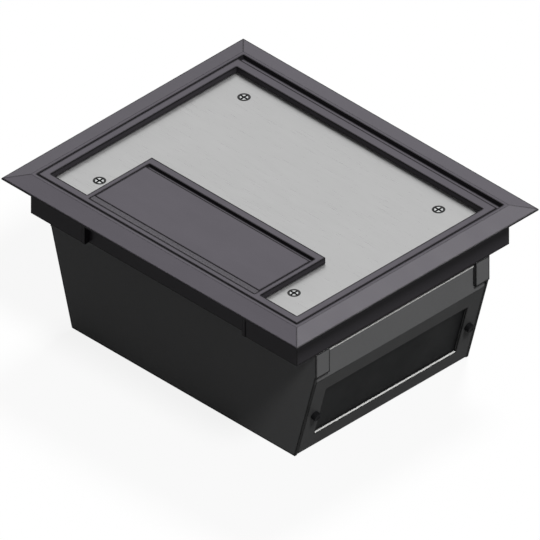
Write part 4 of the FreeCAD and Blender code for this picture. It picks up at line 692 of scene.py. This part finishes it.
def coil(name, start, length, radius, wire, turns, facets=16, sides=8):
    """A wire wound along X from a start point, with its outside ends at the given length."""
    run = length - 2 * wire
    rows = int(turns * facets)
    points = []
    for row in range(rows + 1):
        turn = 2 * math.pi * row / facets
        for side in range(sides):
            around = 2 * math.pi * side / sides
            out = radius + wire * math.cos(around)
            points.append((start[0] + wire + run * row / rows + wire * math.sin(around),
                           start[1] + out * math.cos(turn), start[2] + out * math.sin(turn)))
    return tube(name, points, sides)


# Steps, one for each group of pieces

class FloorBoxPiece:
    """What the operators share: they can be undone, and they read the settings of the scene."""
    bl_options = {"REGISTER", "UNDO"}

    @property
    def finish(self):
        return bpy.context.scene.floor_box_finish

    @property
    def grain(self):
        return bpy.context.scene.floor_box_grain


class DressMouldings(FloorBoxPiece, bpy.types.Operator):
    """Trim, lid border and flap in grained dark plastic"""
    bl_idname = "floor_box.dress_mouldings"
    bl_label = "Mouldings"

    def execute(self, context):
        finish, grain = self.finish, self.grain
        names = ("trim_frame", "lid_frame", "cable_flap")
        coat(names, moulded_grey("moulded grey", finish.moulding, grain.moulding_grain, grain.edge))
        ease_edges(names, grain.arris)
        return {"FINISHED"}


class DressLidSteel(FloorBoxPiece, bpy.types.Operator):
    """The sunk steel plate of the lid"""
    bl_idname = "floor_box.dress_lid_steel"
    bl_label = "Lid plate"
    head_radius: size_setting("Head radius", "Radius of the lid screws' heads", 4.5)

    def execute(self, context):
        screws = FourScrews("lid_screws", self.head_radius)
        material = bare_sheet("rolled lid steel", self.finish.lid_steel, self.grain.rolling_width,
                              self.grain.rolling_length, screws)
        coat(["lid_plate"], material)
        coat(["lid_screws"], screw_head("screw head", self.finish.zinc, screws))
        return {"FINISHED"}


class DressSheetBox(FloorBoxPiece, bpy.types.Operator):
    """Folded steel box, its end plates and their bushes"""
    bl_idname = "floor_box.dress_sheet_box"
    bl_label = "Sheet steel box"
    tilt: angle_setting("Tilt", "How far the box's ends slope from upright", 15.0)
    end_overhang: size_setting("End overhang", "From the foot of the slope out to the end of a wall", 24.0)
    bend_height: size_setting("Bend height", "Height at which the sloped end turns upright", 80.0)
    bare_depth: size_setting("Bare depth", "Part of a cut edge that the coat leaves bare", 1.5)
    tab_reach: size_setting("Tab reach", "From the side of the pan to the edge of a corner tab", 12.9)
    tab_lift: size_setting("Tab lift", "From the bend up to the foot of a corner tab", 6.56)

    def execute(self, context):
        finish, grain = self.finish, self.grain
        foot_half_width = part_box("wall_front")[1][0] - self.end_overhang
        _, seam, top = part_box("box_pan")[1]
        end = FoldedEnd(tilt=self.tilt, foot_half_width=foot_half_width, bend=self.bend_height, top=top,
                        bare_depth=self.bare_depth, seam_y=seam, tab_y=seam - self.tab_reach,
                        tab_foot=self.bend_height + self.tab_lift)
        names = ("box_pan", "wall_front", "wall_rear")
        coat(names, sheet_coat("coated sheet", finish.box_coat, finish.cut_edge_and_highlight, grain.coat_grain,
                               grain.edge, end))
        ease_edges(names, grain.sheet_arris)
        coat(("end_plate_left", "end_plate_right", "data_plate", "blank_plate"),
             plain_coat("coated plate", finish.end_coat, grain.coat_grain))
        coat(("end_bushes", "end_screws"), plain_coat("black bush", finish.bush, grain.coat_grain))
        return {"FINISHED"}


class DressFasteners(FloorBoxPiece, bpy.types.Operator):
    """Plated screws, nuts, pins, rivets, clips and claws"""
    bl_idname = "floor_box.dress_fasteners"
    bl_label = "Fasteners"

    def execute(self, context):
        names = ["lid_hinge_pins", "flap_hinge_pins", "box_screws", "box_nuts", "rail_nuts", "divider_rivets",
                 "plate_screws", "socket_terminal_screws"]
        names += [f"clamp_{part}_{number}" for part in ("screw", "clip", "claw") for number in CLAMP_NUMBERS]
        coat(names, plated("zinc plate", self.finish.zinc))
        return {"FINISHED"}


class DressGalvanised(FloorBoxPiece, bpy.types.Operator):
    """Rails and dividers in galvanised sheet"""
    bl_idname = "floor_box.dress_galvanised"
    bl_label = "Rails and dividers"

    def execute(self, context):
        material = spangled("galvanised sheet", self.finish.galvanised, self.grain.spangle)
        names = ("rail_front", "rail_rear", "divider_left", "divider_right")
        coat(names, material)
        ease_edges(names, self.grain.sheet_arris)
        return {"FINISHED"}


class DressOutlets(FloorBoxPiece, bpy.types.Operator):
    """Twin outlet with its inner parts, the data outlets and the brass earth stud"""
    bl_idname = "floor_box.dress_outlets"
    bl_label = "Outlets"

    def execute(self, context):
        finish, grain = self.finish, self.grain
        coat(("socket_plate", "rocker_front", "rocker_rear"),
             glossy_moulding("polished white", finish.socket_white))
        coat(("shutter_front", "shutter_rear"), glossy_moulding("grey shutter", finish.shutter))
        for name, material_name, colour in (("socket_housing", "moulded housing", finish.housing),
                                            ("data_outlets", "moulded outlet", finish.outlet)):
            coat([name], moulded_grey(material_name, colour, grain.moulding_grain, grain.edge))
        coat(("socket_earth_bar", "socket_neutral_bar", "socket_live_contacts", "earth_stud", "earth_nuts"),
             plated("stamped brass", finish.brass, roughness=0.3))
        return {"FINISHED"}


class MakeSeal(FloorBoxPiece, bpy.types.Operator):
    """Foam seal on the ledge, crowned along its middle and mitred at the corners"""
    bl_idname = "floor_box.make_seal"
    bl_label = "Ledge seal"
    rounding: count_setting("Rounding", "Facets across the seal's crown", 10)
    width: size_setting("Width", "Width of the seal strip", 3.2)
    pore: size_setting("Pore", "Width of a pore of the foam", 0.5)

    def execute(self, context):
        low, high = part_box("ledge_seal")
        half = self.width / 2
        route = [(low[0] + half, high[1]), (low[0] + half, low[1] + half),
                 (high[0] - half, low[1] + half), (high[0] - half, high[1])]
        section = [(-half, low[2])]
        for step in range(self.rounding + 1):
            turn = math.pi * (1 - step / self.rounding)
            rise = SEAL_SHOULDER + (1 - SEAL_SHOULDER) * math.sin(turn)
            section.append((half * math.cos(turn), low[2] + (high[2] - low[2]) * rise))
        section.append((half, low[2]))
        foam = rubbery("closed foam", self.finish.foam, self.pore)
        piece = new_piece("foam_seal", swept("seal", route, section), foam, "box")
        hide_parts("ledge_seal")
        return {"FINISHED"}


class MakeLip(FloorBoxPiece, bpy.types.Operator):
    """Soft front lip of the flap, with a rounded nose and fine ribs along it"""
    bl_idname = "floor_box.make_lip"
    bl_label = "Flap lip"
    seam: size_setting("Seam", "Groove between the lip and the flap", 0.45)
    seam_depth: size_setting("Seam depth", "Depth of that groove", 0.9)
    nose: size_setting("Nose", "Rounding of the lip's front edges", 0.9)
    rib_pitch: size_setting("Rib pitch", "Distance between the grooves on top", 1.15)
    rib_depth: size_setting("Rib depth", "Depth of the grooves on top", 0.22)
    rib_count: count_setting("Ribs", "Number of grooves on top", 3)
    fit: size_setting("Fit", "Air at each end of the lip", 0.05)
    pore: size_setting("Pore", "Width of a pore of the rubber", 0.35)

    def execute(self, context):
        low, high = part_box("flap_lip")
        front, rear, under, top = low[1], high[1], low[2], high[2]
        outline = [(rear, under), (rear, top - self.seam_depth), (rear - self.seam, top - self.seam_depth),
                   (rear - self.seam, top)]
        first = rear - self.seam - self.rib_pitch / 2
        for rib in range(self.rib_count):
            middle = first - rib * self.rib_pitch
            outline += [(middle + self.rib_depth, top), (middle, top - self.rib_depth),
                        (middle - self.rib_depth, top)]
        outline += quarter(front + self.nose, top - self.nose, self.nose, 90)
        outline += quarter(front + self.nose, under + self.nose, self.nose, 180)
        mesh = extruded("lip", outline, low[0] + self.fit, high[0] - self.fit)
        rubber = rubbery("soft rubber", self.finish.rubber, self.pore)
        piece = new_piece("soft_lip", mesh, rubber, "flap")
        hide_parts("flap_lip")
        return {"FINISHED"}


class MakeThreads(FloorBoxPiece, bpy.types.Operator):
    """Thread along each clamp screw, from under the shelf to its tip"""
    bl_idname = "floor_box.make_threads"
    bl_label = "Clamp threads"
    facets: count_setting("Facets", "Steps in one turn of the thread", 20)
    core: size_setting("Core", "Radius of the screw's shank", 2.5)
    plain: size_setting("Plain part", "Length of the shank without a thread, under the head", 10.0)

    def execute(self, context):
        zinc = bpy.data.materials["zinc plate"]
        for number in CLAMP_NUMBERS:
            low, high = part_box(f"clamp_screw_{number}")
            x, y = (low[0] + high[0]) / 2, (low[1] + high[1]) / 2
            mesh = helix(f"thread {number}", (x, y), low[2], high[2] - self.plain, self.core,
                         self.grain.thread_pitch, self.grain.thread_depth, self.facets)
            new_piece(f"clamp_thread_{number}", mesh, zinc, f"clamp_turn_{number}")
        return {"FINISHED"}


class MakeSprings(FloorBoxPiece, bpy.types.Operator):
    """Spring behind each shutter"""
    bl_idname = "floor_box.make_springs"
    bl_label = "Shutter springs"
    wire: size_setting("Wire", "Radius of the wire", 0.25)
    turns: count_setting("Turns", "Number of turns", 7)
    closed_length: size_setting("Closed length", "Length of the spring with its shutter back", 6.0)

    def execute(self, context):
        zinc = bpy.data.materials["zinc plate"]
        for side in ("front", "rear"):
            low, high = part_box(f"shutter_spring_{side}")
            length = high[0] - low[0]
            start = (low[0], (low[1] + high[1]) / 2, (low[2] + high[2]) / 2)
            radius = (high[2] - low[2]) / 2 - self.wire
            mesh = coil(f"spring {side}", start, length, radius, self.wire, self.turns)
            piece = new_piece(f"wound_spring_{side}", mesh, zinc, "box")
            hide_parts(f"shutter_spring_{side}")
            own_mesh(piece)
        return {"FINISHED"}


# Floor, light and camera

class StageFloor(FloorBoxPiece, bpy.types.Operator):
    """White floor, even light and the camera of the picture"""
    bl_idname = "floor_box.stage"
    bl_label = "Floor, light and camera"

    def execute(self, context):
        stage = context.scene.floor_box_stage
        self.make_floor(stage)
        self.make_world(stage)
        sun("key light", stage.key, KEY_DIRECTION, KEY_SPREAD)
        sun("top light", stage.top, TOP_DIRECTION, TOP_SPREAD)
        self.make_camera(stage)
        context.scene.view_settings.view_transform = "Standard"
        return {"FINISHED"}

    def make_floor(self, stage):
        """A white floor that takes the object's shadow, and is as white as the room in all else."""
        mesh = bpy.data.meshes.new("floor")
        signs = ((-1, -1), (1, -1), (1, 1), (-1, 1))
        corners = [(x * FLOOR_HALF, y * FLOOR_HALF, FLOOR_LEVEL) for x, y in signs]
        mesh.from_pydata(corners, [], [(0, 1, 2, 3)])
        floor = bpy.data.objects.new("floor", mesh)
        bpy.context.scene.collection.objects.link(floor)
        material = bpy.data.materials.new("white floor")
        material.use_nodes = True
        nodes, links = material.node_tree.nodes, material.node_tree.links
        nodes.clear()
        diffuse = nodes.new("ShaderNodeBsdfDiffuse")
        share = stage.floor_diffuse
        diffuse.inputs["Color"].default_value = (share, share, share, 1.0)
        glow = nodes.new("ShaderNodeEmission")
        links.new(seen_rays(nodes, links, 1.0 - share), glow.inputs["Strength"])
        total = nodes.new("ShaderNodeAddShader")
        output = nodes.new("ShaderNodeOutputMaterial")
        links.new(diffuse.outputs["BSDF"], total.inputs[0])
        links.new(glow.outputs["Emission"], total.inputs[1])
        links.new(total.outputs["Shader"], output.inputs["Surface"])
        mesh.materials.append(material)

    def make_world(self, stage):
        """A white room for the rays that see it, and a faint even light for all others."""
        world = bpy.data.worlds.new("white room")
        bpy.context.scene.world = world
        world.use_nodes = True
        nodes, links = world.node_tree.nodes, world.node_tree.links
        background = nodes["Background"]
        background.inputs["Color"].default_value = (1.0, 1.0, 1.0, 1.0)
        seen = seen_rays(nodes, links, 1.0 - stage.world)
        lifted = nodes.new("ShaderNodeMath")
        lifted.operation = "ADD"
        lifted.inputs[1].default_value = stage.world
        links.new(seen, lifted.inputs[0])
        links.new(lifted.outputs["Value"], background.inputs["Strength"])

    def make_camera(self, stage):
        """A parallel camera that looks at the object from its azimuth and elevation."""
        data = bpy.data.cameras.new("picture camera")
        data.type = "ORTHO"
        data.ortho_scale = stage.view_width
        data.clip_start, data.clip_end = CAMERA_CLIPS
        camera = bpy.data.objects.new("picture camera", data)
        bpy.context.scene.collection.objects.link(camera)
        flat = math.cos(stage.elevation)
        back = Vector((math.sin(stage.azimuth) * flat, -math.cos(stage.azimuth) * flat,
                       math.sin(stage.elevation)))
        camera.location = Vector((0.0, 0.0, stage.view_height)) + back * CAMERA_DISTANCE
        camera.rotation_mode = "QUATERNION"
        camera.rotation_quaternion = (-back).to_track_quat("-Z", "Y")
        bpy.context.scene.camera = camera


def seen_rays(nodes, links, level):
    """The given level for rays from the camera and for mirrored and refracted ones, and none for the rest."""
    path = nodes.new("ShaderNodeLightPath")
    total = path.outputs["Is Camera Ray"]
    for name in ("Is Glossy Ray", "Is Transmission Ray"):
        either = nodes.new("ShaderNodeMath")
        either.operation = "MAXIMUM"
        links.new(total, either.inputs[0])
        links.new(path.outputs[name], either.inputs[1])
        total = either.outputs["Value"]
    scaled = nodes.new("ShaderNodeMath")
    scaled.operation = "MULTIPLY"
    scaled.inputs[1].default_value = level
    links.new(total, scaled.inputs[0])
    return scaled.outputs["Value"]


def sun(name, strength, direction, spread_degrees):
    """A broad soft lamp far away, in the given direction from the object."""
    data = bpy.data.lights.new(name, "SUN")
    data.energy = strength
    data.angle = math.radians(spread_degrees)
    lamp = bpy.data.objects.new(name, data)
    bpy.context.scene.collection.objects.link(lamp)
    lamp.rotation_mode = "QUATERNION"
    lamp.rotation_quaternion = (-Vector(direction)).to_track_quat("-Z", "Y")


# Panel and registration

class FloorBoxPanel(bpy.types.Panel):
    """Settings and steps of the floor box"""
    bl_idname = "FLOOR_BOX_PT_steps"
    bl_label = "Floor Socket Box"
    bl_space_type = "VIEW_3D"
    bl_region_type = "UI"
    bl_category = "Floor Box"

    def draw(self, context):
        for group_name, kind in SETTINGS.items():
            group = self.layout.box()
            for name in kind.__annotations__:
                group.prop(getattr(context.scene, group_name), name)
        for step in STEPS:
            self.layout.operator(step.bl_idname)


STEPS = (StageFloor, DressMouldings, DressLidSteel, DressSheetBox, DressFasteners, DressGalvanised,
         DressOutlets, MakeSeal, MakeLip, MakeThreads, MakeSprings)
SETTINGS = {
    "floor_box_finish": FloorBoxFinish,
    "floor_box_grain": FloorBoxGrain,
    "floor_box_stage": FloorBoxStage,
}


def register():
    for settings in SETTINGS.values():
        bpy.utils.register_class(settings)
    for step in STEPS:
        bpy.utils.register_class(step)
    bpy.utils.register_class(FloorBoxPanel)
    for name, settings in SETTINGS.items():
        setattr(bpy.types.Scene, name, bpy.props.PointerProperty(type=settings))


def unregister():
    for name in SETTINGS:
        delattr(bpy.types.Scene, name)
    bpy.utils.unregister_class(FloorBoxPanel)
    for step in reversed(STEPS):
        bpy.utils.unregister_class(step)
    for settings in reversed(SETTINGS.values()):
        bpy.utils.unregister_class(settings)


def main():
    register()
    for step in STEPS:
        getattr(bpy.ops.floor_box, step.bl_idname.split(".")[1])()


if __name__ == "__main__":
    main()
